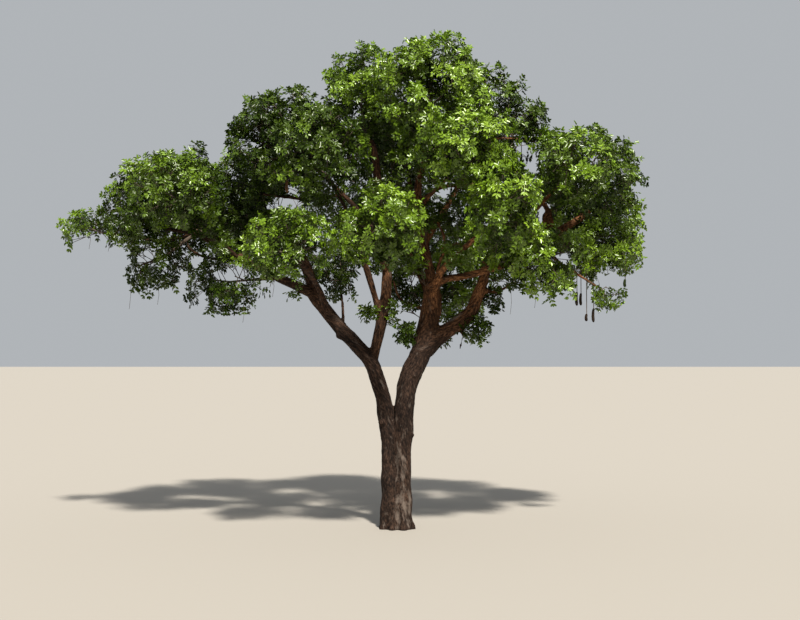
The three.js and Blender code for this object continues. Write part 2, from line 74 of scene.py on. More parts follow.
camera = bpy.data.objects.new("camera", bpy.data.cameras.new("camera"))
camera.data.sensor_width = SENSOR_WIDTH
camera.data.lens = SENSOR_WIDTH * (FOCAL_PIXELS / PHOTO_WIDTH)
camera.location = EYE
camera.rotation_euler = (math.radians(90 + EYE_TILT), 0, 0)
bpy.context.scene.collection.objects.link(camera)
bpy.context.scene.camera = camera

world = bpy.data.worlds.new("sky")
world.use_nodes = True
world.node_tree.nodes["Background"].inputs["Color"].default_value = SKY_COLOUR
world.node_tree.nodes["Background"].inputs["Strength"].default_value = SKY_STRENGTH
bpy.context.scene.world = world
bpy.context.scene.view_settings.view_transform = "Standard"

lamp = bpy.data.objects.new("lamp", bpy.data.lights.new("lamp", "SUN"))
lamp.data.energy = LAMP_STRENGTH
lamp.data.angle = math.radians(LAMP_WIDTH)
lamp.data.color = LAMP_COLOUR
lamp.rotation_euler = (math.radians(LAMP_TILT[0]), math.radians(LAMP_TILT[1]), 0)
bpy.context.scene.collection.objects.link(lamp)


def plain_material(name, colour, roughness):
    """One even colour with its roughness."""
    material = bpy.data.materials.new(name)
    material.use_nodes = True
    shader = material.node_tree.nodes["Principled BSDF"]
    shader.inputs["Base Color"].default_value = (*colour, 1)
    shader.inputs["Roughness"].default_value = roughness
    return material


def mesh_piece(name, corners, faces):
    """A mesh object from its corners and from faces that all have as many corners."""
    mesh = bpy.data.meshes.new(name)
    mesh.vertices.add(len(corners))
    mesh.vertices.foreach_set("co", np.asarray(corners, np.float32).ravel())
    mesh.loops.add(faces.size)
    mesh.loops.foreach_set("vertex_index", faces.astype(np.int32).ravel())
    mesh.polygons.add(len(faces))
    mesh.polygons.foreach_set("loop_start", np.arange(0, faces.size, faces.shape[1], dtype=np.int32))
    mesh.update(calc_edges=True)
    piece = bpy.data.objects.new(name, mesh)
    bpy.context.scene.collection.objects.link(piece)
    return piece


half = FLOOR_SIDE / 2
floor = mesh_piece(
    "floor",
    [(-half, -half, 0), (half, -half, 0), (half, half, 0), (-half, half, 0)],
    np.array([[0, 1, 2, 3]]),
)
floor.data.materials.append(plain_material("pale_floor", FLOOR_COLOUR, FLOOR_ROUGHNESS))
floor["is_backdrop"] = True

# The trunk is two stems that have grown together from the ground to their parting, with a flare at the foot.
# Boughs and branches with the same fissured, scaling bark leave it, and each tapers towards its foliage.

# The masses of foliage that they carry: the middle of each, how far it reaches each way, and how many sprays
# its twigs bear before they are carried finer. A bough ends inside its mass.
MASSES = {
    "west_tip": ((-8.2, 0.1, 7.82), (0.78, 0.8, 0.55), 8),
    "west_outer": ((-6.56, -0.2, 8.45), (1.18, 1.7, 1.42), 20),
    "west_crest": ((-5.7, 0.9, 8.8), (1.4, 1.9, 1.5), 20),
    "west_front": ((-5.4, -2.2, 8.45), (1.25, 1.35, 1.0), 18),
    "west_droop": ((-6.38, 0.3, 6.97), (0.92, 0.9, 0.92), 13),
    "west_hang": ((-4.5, -0.3, 6.42), (1.2, 0.95, 0.86), 16),
    "northwest": ((-2.92, -0.5, 10.06), (1.46, 1.8, 1.6), 23),
    "northwest_low": ((-4.0, 1.3, 8.95), (1.6, 1.8, 1.6), 19),
    "top_west": ((-1.05, 0.9, 11.33), (1.36, 1.7, 1.72), 22),
    "top_centre": ((1.0, -0.5, 11.18), (1.86, 1.8, 1.78), 33),
    "top_east": ((2.6, 0.9, 10.88), (1.68, 1.8, 1.6), 24),
    "east_upper": ((5.0, -0.1, 9.13), (1.7, 1.8, 1.46), 24),
    "east_low": ((5.5, 0.7, 7.79), (1.35, 1.8, 1.4), 21),
    "east_front": ((4.35, -2.4, 9.1), (1.15, 1.3, 0.95), 16),
    "east_droop": ((5.5, -0.3, 6.12), (0.42, 0.48, 0.44), 7),
    "southeast": ((3.68, -1.3, 7.0), (1.36, 1.35, 1.22), 20),
    "centre_hang": ((-1.59, 1.1, 6.76), (0.82, 0.95, 0.9), 12),
    "centre_low": ((1.6, 1.3, 6.75), (1.2, 1.2, 1.45), 16),
    "centre_deep": ((0.28, 0.95, 6.5), (0.62, 0.8, 1.1), 10),
    "front_west": ((-2.57, -2.9, 7.07), (1.2, 1.4, 0.95), 18),
    "front_centre": ((-0.34, -3.3, 7.5), (1.24, 1.34, 0.96), 18),
    "front_east": ((2.6, -3.0, 7.9), (0.95, 1.4, 1.2), 17),
    "front_top": ((1.79, -2.4, 9.41), (1.5, 1.6, 1.15), 20),
    "front_northwest": ((-1.92, -2.2, 9.38), (1.34, 1.5, 1.25), 18),
    "back_west": ((-4.1, 3.2, 8.5), (2.0, 2.0, 1.4), 20),
    "back_centre": ((-0.2, 3.9, 8.6), (2.2, 1.9, 1.8), 20),
    "back_east": ((3.2, 3.3, 8.5), (2.3, 2.0, 1.7), 20),
    "back_top": ((0.2, 2.7, 10.7), (2.1, 1.8, 1.6), 20),
    "tuft_fork": ((0.22, -0.35, 5.08), (0.27, 0.36, 0.27), 4),
    "tuft_east": ((2.04, -0.2, 5.2), (0.42, 0.4, 0.44), 6),
    "tuft_bend": ((2.66, 0.1, 6.02), (0.4, 0.38, 0.4), 5),
}
ENTRY = 0.72  # of a mass's reach, where its bough ends
CURVE_STEPS = 200

limb_lines = {}
limb_radii = {}


def unit(vector):
    """A vector's direction, with a length of one."""
    return vector / np.linalg.norm(vector)


class SmoothLine:
    """A smooth line through a limb's places, read by the share of its length."""

    def __init__(self, places):
        self.places = np.array(places, float)
        before = 2 * self.places[0] - self.places[1]
        after = 2 * self.places[-1] - self.places[-2]
        self.through = np.vstack([before, self.places, after])
        self.steps = np.linspace(0, 1, CURVE_STEPS + 1)
        row = np.array([self.at_step(step) for step in self.steps])
        self.lengths = np.concatenate([[0], np.cumsum(np.linalg.norm(np.diff(row, axis=0), axis=1))])

    def at_step(self, step):
        """The place at a share of the steps between the first place and the last."""
        spot = step * (len(self.places) - 1)
        first = min(int(spot), len(self.places) - 2)
        part = spot - first
        before, low, high, after = self.through[first : first + 4]
        rise, fall = (high - before) / 2, (after - low) / 2
        square, cube = part**2, part**3
        bend = (3 * square - 2 * cube) * (high - low) + (part - 2 * square + cube) * rise
        return low + bend + (cube - square) * fall

    def at(self, share):
        """The place at a share of the length."""
        return self.at_step(np.interp(share * self.lengths[-1], self.lengths, self.steps))

    def length(self):
        """The whole length."""
        return self.lengths[-1]


def ellipsoid_reach(direction, reach):
    """How far an egg of that reach in each axis goes in a direction."""
    return 1 / np.linalg.norm(direction / np.array(reach))


def lay_limb(name, places, radii):
    """A limb through its places, with its radii from foot to tip at even steps of its length."""
    limb_lines[name] = SmoothLine(places)
    limb_radii[name] = radii


def grow_limb(name, parent, share, through, end, radii):
    """A limb from its place on its parent to its end, which is a place or the mass that it carries."""
    places = [limb_lines[parent].at(share), *through]
    if end in MASSES:
        centre, reach, _ = MASSES[end]
        back = unit(np.array(places[-1]) - centre)
        places.append(centre + back * ENTRY * ellipsoid_reach(back, reach))
    else:
        places.append(end)
    lay_limb(name, places, radii)


WEST_STEM = [(-0.13, 0.02, -0.3), (-0.13, 0.02, 0.05), (-0.15, 0.02, 0.5), (-0.17, 0.02, 1.3),
             (-0.2, 0.03, 2.2), (-0.31, 0.04, 3.05), (-0.37, 0.05, 3.4)]
EAST_STEM = [(0.12, -0.03, -0.3), (0.12, -0.03, 0.05), (0.13, -0.03, 0.5), (0.14, -0.04, 1.3),
             (0.16, -0.05, 2.2), (0.19, -0.06, 3.05), (0.22, -0.07, 3.4)]
lay_limb("trunk_west", WEST_STEM, [0.36, 0.31, 0.25, 0.225, 0.225, 0.22, 0.21])
lay_limb("trunk_east", EAST_STEM, [0.34, 0.29, 0.24, 0.225, 0.235, 0.26, 0.26])

grow_limb("bough_west", "trunk_west", 1, [(-0.68, 0.05, 4.3), (-1.12, 0.02, 4.82), (-1.58, 0, 5.34)],
          (-2.22, -0.05, 6.12), [0.205, 0.205, 0.19, 0.185, 0.17])
grow_limb("bough_west_far", "bough_west", 1, [(-2.7, -0.1, 6.36), (-3.4, -0.1, 6.68), (-4.35, 0, 7.22)],
          "west_outer", [0.135, 0.08])
grow_limb("bough_centre_west", "bough_west", 0.27,
          [(-0.52, 0.08, 4.9), (-0.4, 0.1, 5.43), (-0.31, 0.12, 5.96)],
          (-0.26, 0.12, 6.6), [0.13, 0.135, 0.15, 0.15, 0.12])
grow_limb("leader_west", "bough_centre_west", 1, [(-0.31, 0.12, 7.4), (-0.48, 0.1, 8.8), (-0.6, 0.2, 9.9)],
          "top_west", [0.12, 0.125, 0.12, 0.085])
grow_limb("bough_centre", "trunk_east", 1, [(0.31, -0.07, 3.9), (0.56, -0.07, 4.45), (0.83, -0.08, 5.43)],
          (0.92, -0.1, 6.4), [0.26, 0.285, 0.28, 0.25, 0.19])
grow_limb("leader_centre", "bough_centre", 1, [(0.7, 0, 7.6), (0.55, 0, 8.8)], "top_centre", [0.14, 0.09])
grow_limb("bough_east", "bough_centre", 0.42, [(1.15, -0.1, 5.03), (1.9, -0.1, 5.6)],
          (2.28, -0.05, 6.5), [0.29, 0.215, 0.18, 0.14])
grow_limb("bough_east_far", "bough_east", 1, [(2.5, 0, 7.15), (3.1, 0.1, 7.5)], "east_low", [0.14, 0.1])
grow_limb("bough_east_low", "bough_centre", 0.97, [(1.3, -0.35, 6.5), (1.73, -0.6, 6.54)],
          "southeast", [0.11, 0.07])
grow_limb("branch_west_tip", "bough_west_far", 0.86, [(-6.2, 0.1, 7.55)], "west_tip", [0.055, 0.03])
grow_limb("branch_west_front", "bough_west_far", 0.45, [(-4.2, -0.8, 7.1)], "west_front", [0.075, 0.045])
grow_limb("branch_west_hang", "bough_west_far", 0.24, [(-3.3, -0.2, 6.52)], "west_hang", [0.08, 0.045])
grow_limb("branch_northwest", "leader_west", 0.2, [(-1.0, 0, 8.3), (-1.8, -0.2, 9.1)],
          "northwest", [0.08, 0.05])
grow_limb("branch_northwest_low", "bough_west", 0.96,
          [(-2.3, 0.1, 6.55), (-2.5, 0.2, 7.05), (-2.9, 0.6, 7.8)], "northwest_low", [0.15, 0.13, 0.06])
grow_limb("branch_front_west", "bough_west", 0.8, [(-2.05, -0.8, 6.3)], "front_west", [0.09, 0.05])
grow_limb("branch_centre_hang", "bough_west", 0.62, [(-1.45, 0.35, 5.85)], "centre_hang", [0.05, 0.035])
grow_limb("branch_front_centre", "leader_west", 0.05, [(-0.4, -0.6, 7.0)], "front_centre", [0.08, 0.05])
grow_limb("branch_front_northwest", "bough_centre_west", 0.5,
          [(-0.64, -0.1, 6.25), (-0.82, -0.4, 6.85), (-1.1, -0.9, 7.8)],
          "front_northwest", [0.085, 0.08, 0.045])
grow_limb("branch_front_top", "leader_centre", 0.35, [(0.7, -0.7, 8.4)], "front_top", [0.08, 0.045])
grow_limb("branch_top_east", "leader_centre", 0.3, [(1.4, 0.2, 8.6)], "top_east", [0.1, 0.055])
grow_limb("branch_front_east", "bough_centre", 0.93, [(1.3, -0.9, 6.85)], "front_east", [0.1, 0.055])
grow_limb("branch_east_upper", "bough_east_far", 0.86, [(3.9, 0.05, 8.15)], "east_upper", [0.09, 0.05])
grow_limb("branch_east_front", "bough_east_far", 0.35, [(3.1, -0.8, 7.7)], "east_front", [0.08, 0.045])
grow_limb("branch_east_droop", "bough_east_far", 0.75, [(4.2, -0.1, 7.0), (4.75, -0.25, 6.6)],
          "east_droop", [0.065, 0.028])
grow_limb("branch_back_west", "bough_west", 0.88, [(-2.4, 1.1, 6.7)], "back_west", [0.12, 0.06])
grow_limb("branch_back_centre", "bough_centre", 0.86, [(0.6, 1.2, 6.8)], "back_centre", [0.12, 0.06])
grow_limb("branch_back_east", "bough_east", 0.9, [(2.4, 1.0, 6.9)], "back_east", [0.11, 0.055])
grow_limb("branch_back_top", "leader_centre", 0.2, [(0.5, 0.8, 8.1)], "back_top", [0.09, 0.05])

# One skin of bark covers the trunk and all the limbs: round bars along their lines are melted together and
# softened, so that each limb runs smoothly into the one that carries it.
ROW_STEP = 0.08
FEWEST_ROWS = 4
LIMB_SIDES = 20
SKIN_VOXEL = 0.033
SKIN_SMOOTHING = (0.5, 4)  # how far a corner moves towards its neighbours' middle, and how many times
FIRST_ACROSS = (0.36, 0.48, 0.8)  # where a bar's first corner lies, seen from its middle


def rows_of(name):
    """The middles and radii of a limb's rings, close together."""
    line = limb_lines[name]
    count = max(FEWEST_ROWS, round(line.length() / ROW_STEP))
    shares = np.linspace(0, 1, count + 1)
    middles = np.array([line.at(share) for share in shares])
    radii = np.interp(shares, np.linspace(0, 1, len(limb_radii[name])), limb_radii[name])
    return middles, radii


def tube(middles, radii, sides):
    """The corners and three-cornered faces of a round bar bent along its middles, closed at both ends."""
    steps = np.diff(middles, axis=0)
    steps /= np.linalg.norm(steps, axis=1)[:, None]
    headings = np.vstack([steps[:1], steps[:-1] + steps[1:], steps[-1:]])
    headings /= np.linalg.norm(headings, axis=1)[:, None]
    across = np.array(FIRST_ACROSS)
    turns = np.arange(sides) * 2 * math.pi / sides
    rings = []
    for middle, radius, heading in zip(middles, radii, headings):
        across = unit(across - heading * across.dot(heading))
        beside = np.cross(heading, across)
        ring = np.outer(np.cos(turns), across) + np.outer(np.sin(turns), beside)
        rings.append(middle + ring * radius)
    corners = np.vstack([*rings, middles[:1], middles[-1:]])
    around = np.arange(sides)
    beyond = (around + 1) % sides
    faces = []
    for ring in range(len(middles) - 1):
        low, high = ring * sides, (ring + 1) * sides
        faces.append(np.stack([low + around, low + beyond, high + beyond], 1))
        faces.append(np.stack([low + around, high + beyond, high + around], 1))
    last = (len(middles) - 1) * sides
    foot, top = len(corners) - 2, len(corners) - 1
    faces.append(np.stack([beyond, around, np.full(sides, foot)], 1))
    faces.append(np.stack([last + around, last + beyond, np.full(sides, top)], 1))
    return corners, np.vstack(faces)


def joined(shapes):
    """Several shapes' corners and faces as one."""
    corners, faces, count = [], [], 0
    for shape_corners, shape_faces in shapes:
        corners.append(shape_corners)
        faces.append(shape_faces + count)
        count += len(shape_corners)
    return np.vstack(corners), np.vstack(faces)


def apply_modifiers(piece):
    """Makes the piece's modifiers part of its mesh."""
    graph = bpy.context.evaluated_depsgraph_get()
    mesh = bpy.data.meshes.new_from_object(piece.evaluated_get(graph))
    piece.modifiers.clear()
    piece.data = mesh


# Lumps, knots and the stubs of lost branches swell the skin where it has healed over them: where each one is
# and points, its length and its two radii.
SWELLINGS = [
    ((-1.42, 0.0, 5.12), (-0.5, -0.35, -0.75), 0.2, 0.15, 0.1),
    ((-1.9, -0.1, 5.85), (-0.8, -0.2, -0.5), 0.18, 0.12, 0.08),
    ((1.62, -0.22, 5.22), (0.55, -0.3, -0.75), 0.24, 0.09, 0.05),
    ((0.42, -0.22, 4.0), (0.3, -0.95, 0.2), 0.14, 0.12, 0.07),
    ((-0.36, -0.08, 2.75), (-0.5, -0.85, 0.1), 0.16, 0.1, 0.07),
    ((0.3, -0.12, 2.42), (0.9, -0.4, 0.1), 0.13, 0.09, 0.05),
    ((2.25, -0.12, 6.2), (0.85, -0.5, -0.1), 0.2, 0.1, 0.07),
    ((0.86, -0.2, 6.1), (-0.5, -0.85, 0.2), 0.2, 0.1, 0.06),
]
SWELLING_SIDES = 12
# Small limbs that bear no foliage of their own leave the boughs, some of them dead: the places of each and
# the radii of its foot and its tip.
SMALL_LIMBS = [
    ([(1.0, -0.08, 5.15), (1.13, 0.02, 5.75), (1.1, 0.12, 6.35), (1.3, 0.4, 6.95)], 0.07, 0.04),
    ([(1.78, -0.1, 5.5), (1.74, -0.2, 5.12), (1.64, -0.2, 4.66)], 0.042, 0.022),
    ([(2.16, -0.05, 6.3), (2.5, -0.1, 6.16), (2.85, -0.15, 6.28), (3.1, -0.2, 6.52)], 0.06, 0.032),
    ([(0.85, 0.0, 5.66), (0.42, 0.12, 5.84), (0.08, 0.22, 6.02), (-0.1, 0.35, 6.5)], 0.055, 0.032),
    ([(-2.5, -0.08, 6.26), (-2.62, -0.12, 6.08), (-2.78, -0.15, 5.94)], 0.04, 0.022),
    ([(1.2, -0.25, 7.2), (1.24, -0.35, 7.55), (1.05, -0.4, 8.0)], 0.06, 0.03),
    ([(1.02, -0.25, 6.55), (1.18, -0.4, 7.1), (1.48, -0.5, 7.4), (1.75, -0.5, 7.28), (1.66, -0.5, 6.85)],
     0.055, 0.03),
    ([(0.62, 0.0, 8.55), (1.15, -0.2, 8.92), (1.85, -0.3, 8.95), (2.6, -0.4, 9.1)], 0.07, 0.04),
    ([(3.75, 0.1, 7.6), (4.07, 0.0, 7.9), (3.93, 0.0, 8.45), (3.57, 0.0, 8.72), (3.3, 0.1, 9.1)],
     0.09, 0.045),
    ([(3.7, 0.1, 7.55), (4.2, 0.0, 7.75), (4.6, 0.0, 7.97), (5.1, 0.0, 8.3)], 0.12, 0.09),
    ([(5.0, -0.1, 9.0), (5.1, -0.1, 9.4), (5.25, -0.1, 9.72), (5.5, -0.1, 9.68)], 0.035, 0.016),
    ([(2.0, 0.5, 9.9), (2.6, 0.4, 10.3), (3.2, 0.3, 10.3), (3.8, 0.3, 10.2)], 0.05, 0.025),
    ([(3.15, 0.3, 10.3), (3.25, 0.25, 9.95), (3.45, 0.25, 9.75)], 0.02, 0.014),
    ([(-1.5, -0.1, 8.75), (-2.2, 0.0, 8.62), (-2.9, 0.1, 8.7), (-3.6, 0.2, 8.8)], 0.06, 0.035),
    ([(-4.4, 0.0, 7.25), (-5.0, -0.35, 7.6), (-5.6, -0.5, 7.72), (-6.4, -0.4, 7.86)], 0.065, 0.035),
    ([(-4.2, 0.0, 7.1), (-4.9, 0.0, 7.05), (-5.5, 0.05, 7.35), (-5.55, 0.1, 7.9)], 0.055, 0.03),
]
SMALL_LIMB_ROWS = 12
SMALL_LIMB_SIDES = 10
# The tops of the roots swell the foot of the trunk: the direction of each round it, in degrees, its reach
# and its radius. They die away into the trunk less than a metre up.
FLARES = [(205, 0.43, 0.11), (250, 0.38, 0.1), (296, 0.4, 0.12), (345, 0.44, 0.1), (30, 0.42, 0.12),
          (75, 0.38, 0.1), (118, 0.4, 0.11), (160, 0.42, 0.1)]
FLARE_DEPTH = 0.2  # below the ground, where the skin is cut off
FLARE_SHOULDER = (0.93, 0.25, 0.9)  # of its foot's reach, above it, and of its radius
FLARE_END = (0.62, 0.75, 0.5)  # of its reach, above the ground, and of its radius

skin_shapes = []
for name in limb_lines:
    middles, radii = rows_of(name)
    skin_shapes.append(tube(middles, radii, LIMB_SIDES))
for at, towards, length, foot_radius, tip_radius in SWELLINGS:
    start = np.array(at)
    tip = start + unit(np.array(towards)) * length
    skin_shapes.append(tube(np.array([start, tip]), [foot_radius, tip_radius], SWELLING_SIDES))
for places, foot_radius, tip_radius in SMALL_LIMBS:
    line = SmoothLine(places)
    shares = np.linspace(0, 1, SMALL_LIMB_ROWS)
    middles = np.array([line.at(share) for share in shares])
    radii = np.interp(shares, [0, 1], [foot_radius, tip_radius])
    skin_shapes.append(tube(middles, radii, SMALL_LIMB_SIDES))
for degrees, out, radius in FLARES:
    way = np.array([math.cos(math.radians(degrees)), math.sin(math.radians(degrees)), 0])
    foot = way * out + (0, 0, -FLARE_DEPTH)
    shoulder = foot * FLARE_SHOULDER[0] + (0, 0, FLARE_SHOULDER[1])
    end = way * out * FLARE_END[0] + (0, 0, FLARE_END[1])
    radii = [radius, radius * FLARE_SHOULDER[2], radius * FLARE_END[2]]
    skin_shapes.append(tube(np.array([foot, shoulder, end]), radii, SWELLING_SIDES))

bark_skin = mesh_piece("bark_skin", *joined(skin_shapes))
remesh = bark_skin.modifiers.new("one_skin", "REMESH")
remesh.mode = "VOXEL"
remesh.voxel_size = SKIN_VOXEL
soften = bark_skin.modifiers.new("soften", "SMOOTH")
soften.factor, soften.iterations = SKIN_SMOOTHING
apply_modifiers(bark_skin)

# The skin is cut flat at the ground, where the tree would go on into its roots. The cut is closed, so the
# trunk is whole from below as well.
skin = bmesh.new()
skin.from_mesh(bark_skin.data)
everything = [*skin.verts, *skin.edges, *skin.faces]
cut = bmesh.ops.bisect_plane(skin, geom=everything, plane_co=(0, 0, 0), plane_no=(0, 0, 1), clear_inner=True)
rim = [edge for edge in cut["geom_cut"] if isinstance(edge, bmesh.types.BMEdge)]
bmesh.ops.edgeloop_fill(skin, edges=rim)
bmesh.ops.triangulate(skin, faces=[face for face in skin.faces if len(face.verts) > 4])
skin.to_mesh(bark_skin.data)
skin.free()

# The bark's grain runs along each limb, and on from the end of one limb into the next. Ridges, plates and
# lumps stand out from the skin, deepest on the trunk, and each corner of the skin keeps its place in the
# grain and its share of a warm tint: that of young wood, and painted sunlight on the high and east limbs.
GRAIN_STRETCH = 0.38  # how much slower the grain changes along a limb than round it
GRAIN_LINE = np.array([0.31, 0.52, 0.79])  # the line through the grain that a limb's length follows
GRAIN_APART = 7.3  # along that line, between limbs that don't meet end to end
ENDS_MEET = 0.1
NEAR_ROWS = 4
RIDGE_SCALE = 9
FINE_RIDGE_SCALE = 2.1  # of the ridges'
FINE_RIDGE_HEIGHT = 0.5  # of the ridges'
PLATE_SCALE = 0.55  # of the ridges'
PLATE_SHIFT = Vector((5, 5, 5))  # keeps the plates from following the ridges
LUMP_SCALE = 1.9
LUMP_HEIGHT = 0.16  # of a limb's radius, as are the plates' height and the ridges' depth
PLATE_HEIGHT = 0.05
RIDGE_DEPTH = 0.09
RELIEF_RADIUS = 0.3  # thicker limbs have no deeper relief than this one
SKIN_RAISED = 0.004
AT_GROUND = 1e-4
ABOVE_GROUND = 0.001
YOUNG_FROM_RADIUS = 0.2  # thinner limbs than this have the warmer bark of young wood
YOUNG_SPREAD = 0.16
SUNLIT_FROM_HEIGHT = 4.7  # limbs higher than this take the same warm tint as painted sunlight
SUNLIT_RISE = 1.6
SUNLIT_MIDDLE = 0.58  # painted sunlight: the east boughs are painted warmest, the west ones greyest in painted shade

grain_tree_rows = []
grain_ends = []
for index, name in enumerate(limb_lines):
    middles, radii = rows_of(name)
    grain_start = index * GRAIN_APART
    for end, grain_there in grain_ends:
        if np.linalg.norm(middles[0] - end) < ENDS_MEET:
            grain_start = grain_there
    along = grain_start + np.linspace(0, limb_lines[name].length(), len(middles))
    grain_ends.append((middles[-1], along[-1]))
    headings = np.gradient(middles, axis=0)
    headings /= np.linalg.norm(headings, axis=1)[:, None]
    grain_tree_rows += zip(middles, radii, headings, along)
grain_tree = KDTree(len(grain_tree_rows))
for index, (middle, *_) in enumerate(grain_tree_rows):
    grain_tree.insert(middle, index)
grain_tree.balance()

mesh = bark_skin.data
count = len(mesh.vertices)
corners = np.empty(count * 3, np.float32)
normals = np.empty(count * 3, np.float32)
mesh.vertices.foreach_get("co", corners)
mesh.vertices.foreach_get("normal", normals)
corners = corners.reshape(-1, 3)
normals = normals.reshape(-1, 3)
grain = np.empty((count, 3), np.float32)
raised = np.empty(count, np.float32)
young_and_sunlit = np.empty(count, np.float32)
for i in range(count):
    corner = Vector(corners[i])
    best = None
    for _, index, distance in grain_tree.find_n(corner, NEAR_ROWS):
        outside = distance - grain_tree_rows[index][1]
        if best is None or outside < best[0]:
            best = (outside, index)
    middle, radius, heading, run_length = grain_tree_rows[best[1]]
    away = corners[i] - middle
    ahead = float(away.dot(heading))
    spot = away - heading * ahead
    spot = spot + GRAIN_LINE * (run_length + ahead) * GRAIN_STRETCH
    grain[i] = spot
    place = Vector(spot) * RIDGE_SCALE
    ridges = abs(noise.noise(place)) + FINE_RIDGE_HEIGHT * abs(noise.noise(place * FINE_RIDGE_SCALE))
    plates = noise.noise(place * PLATE_SCALE + PLATE_SHIFT)
    lumps = noise.noise(corner * LUMP_SCALE)
    relief = LUMP_HEIGHT * lumps + PLATE_HEIGHT * plates - RIDGE_DEPTH * ridges
    raised[i] = min(radius, RELIEF_RADIUS) * relief + SKIN_RAISED
    # Warm tint: young wood on thin limbs, and painted sunlight on high limbs and the east side.
    thin = (YOUNG_FROM_RADIUS - radius) / YOUNG_SPREAD
    high = (corner.z - SUNLIT_FROM_HEIGHT) / SUNLIT_RISE
    sunlit_side = SUNLIT_MIDDLE + (1 - SUNLIT_MIDDLE) * min(max(corner.x, -1), 1)
    young_and_sunlit[i] = min(max(thin, high, 0), 1) * sunlit_side
moved = corners + normals * raised[:, None]
at_ground = corners[:, 2] < AT_GROUND
moved[at_ground, 2] = 0
moved[~at_ground, 2] = np.maximum(moved[~at_ground, 2], ABOVE_GROUND)
mesh.vertices.foreach_set("co", moved.ravel())
mesh.attributes.new("grain", "FLOAT_VECTOR", "POINT").data.foreach_set("vector", grain.ravel())

# Where the outer bark has scaled off, the smooth inner bark is pale: the two ends of each such scar and half
# its width.
SCARS = [
    ((0.02, -0.29, 0.1), (0.0, -0.24, 2.2), 0.1),
    ((0.17, -0.32, 0.1), (0.16, -0.29, 1.9), 0.13),
    ((0.33, -0.2, 0.1), (0.35, -0.2, 1.7), 0.1),
    ((-0.3, -0.17, 3.6), (-0.44, -0.16, 4.25), 0.09),
    ((-0.42, -0.15, 4.5), (-0.5, -0.12, 4.85), 0.07),
    ((1.22, -0.2, 5.3), (1.66, -0.2, 5.6), 0.1),
]
scarred = np.zeros(count, np.float32)
for start, end, half_width in SCARS:
    start, end = np.array(start), np.array(end)
    line = end - start
    share = np.clip((corners - start) @ line / (line @ line), 0, 1)
    distance = np.linalg.norm(corners - start - share[:, None] * line, axis=1)
    scarred = np.maximum(scarred, 1 - distance / half_width)
mesh.attributes.new("scarred", "FLOAT", "POINT").data.foreach_set("value", scarred)
# The warm tint's share: young wood, and painted sunlight.
mesh.attributes.new("young_and_sunlit", "FLOAT", "POINT").data.foreach_set("value", young_and_sunlit)
mesh.polygons.foreach_set("use_smooth", np.ones(len(mesh.polygons), bool))
mesh.update()


def shader_node(tree, kind, **numbers):
    """A node of a kind, with the numbers that its sockets hold."""
    node = tree.nodes.new("ShaderNode" + kind)
    for socket, number in numbers.items():
        node.inputs[socket.replace("_", " ")].default_value = number
    return node


def read_from_skin(tree, name):
    """The node that reads what each corner of the skin keeps under a name."""
    node = shader_node(tree, "Attribute")
    node.attribute_name = name
    return node


def colour_mix(tree, kind, colour):
    """A node that mixes a colour into another, by its share."""
    node = shader_node(tree, "Mix")
    node.data_type = "RGBA"
    node.blend_type = kind
    node.inputs["B"].default_value = colour
    return node


def link_in_order(tree, *sockets):
    """Joins each pair of sockets in a row: the first to the second, the third to the fourth."""
    for source, target in zip(sockets[::2], sockets[1::2]):
        tree.links.new(source, target)


# Bark: grey-brown ridges over darker fissures, with paler patches where plates have scaled off, and a warmer
# brown on the younger limbs, which also paints sunlight on the high limbs and the east side.
FISSURE_COLOUR = (0.004, 0.0022, 0.0015, 1)
BARK_COLOUR = (0.02, 0.0112, 0.0075, 1)
RIDGE_COLOUR = (0.068, 0.039, 0.026, 1)
# The warm tint of young wood, which is also painted sunlight on the high and east limbs.
YOUNG_AND_SUNLIT_TINT = (5.4, 4.2, 2.6, 1)
INNER_BARK_COLOUR = (0.125, 0.098, 0.08, 1)
FISSURE_UP_TO = 0.38  # of the fissures' noise
RIDGE_FROM = 0.66
BARK_BETWEEN = 0.5
BARK_ROUGHNESS = 0.85
BARK_GLOSS = 0.15
SCAR_PATCHES = 0.21  # added to the patches' noise on a scar, where it makes them join up


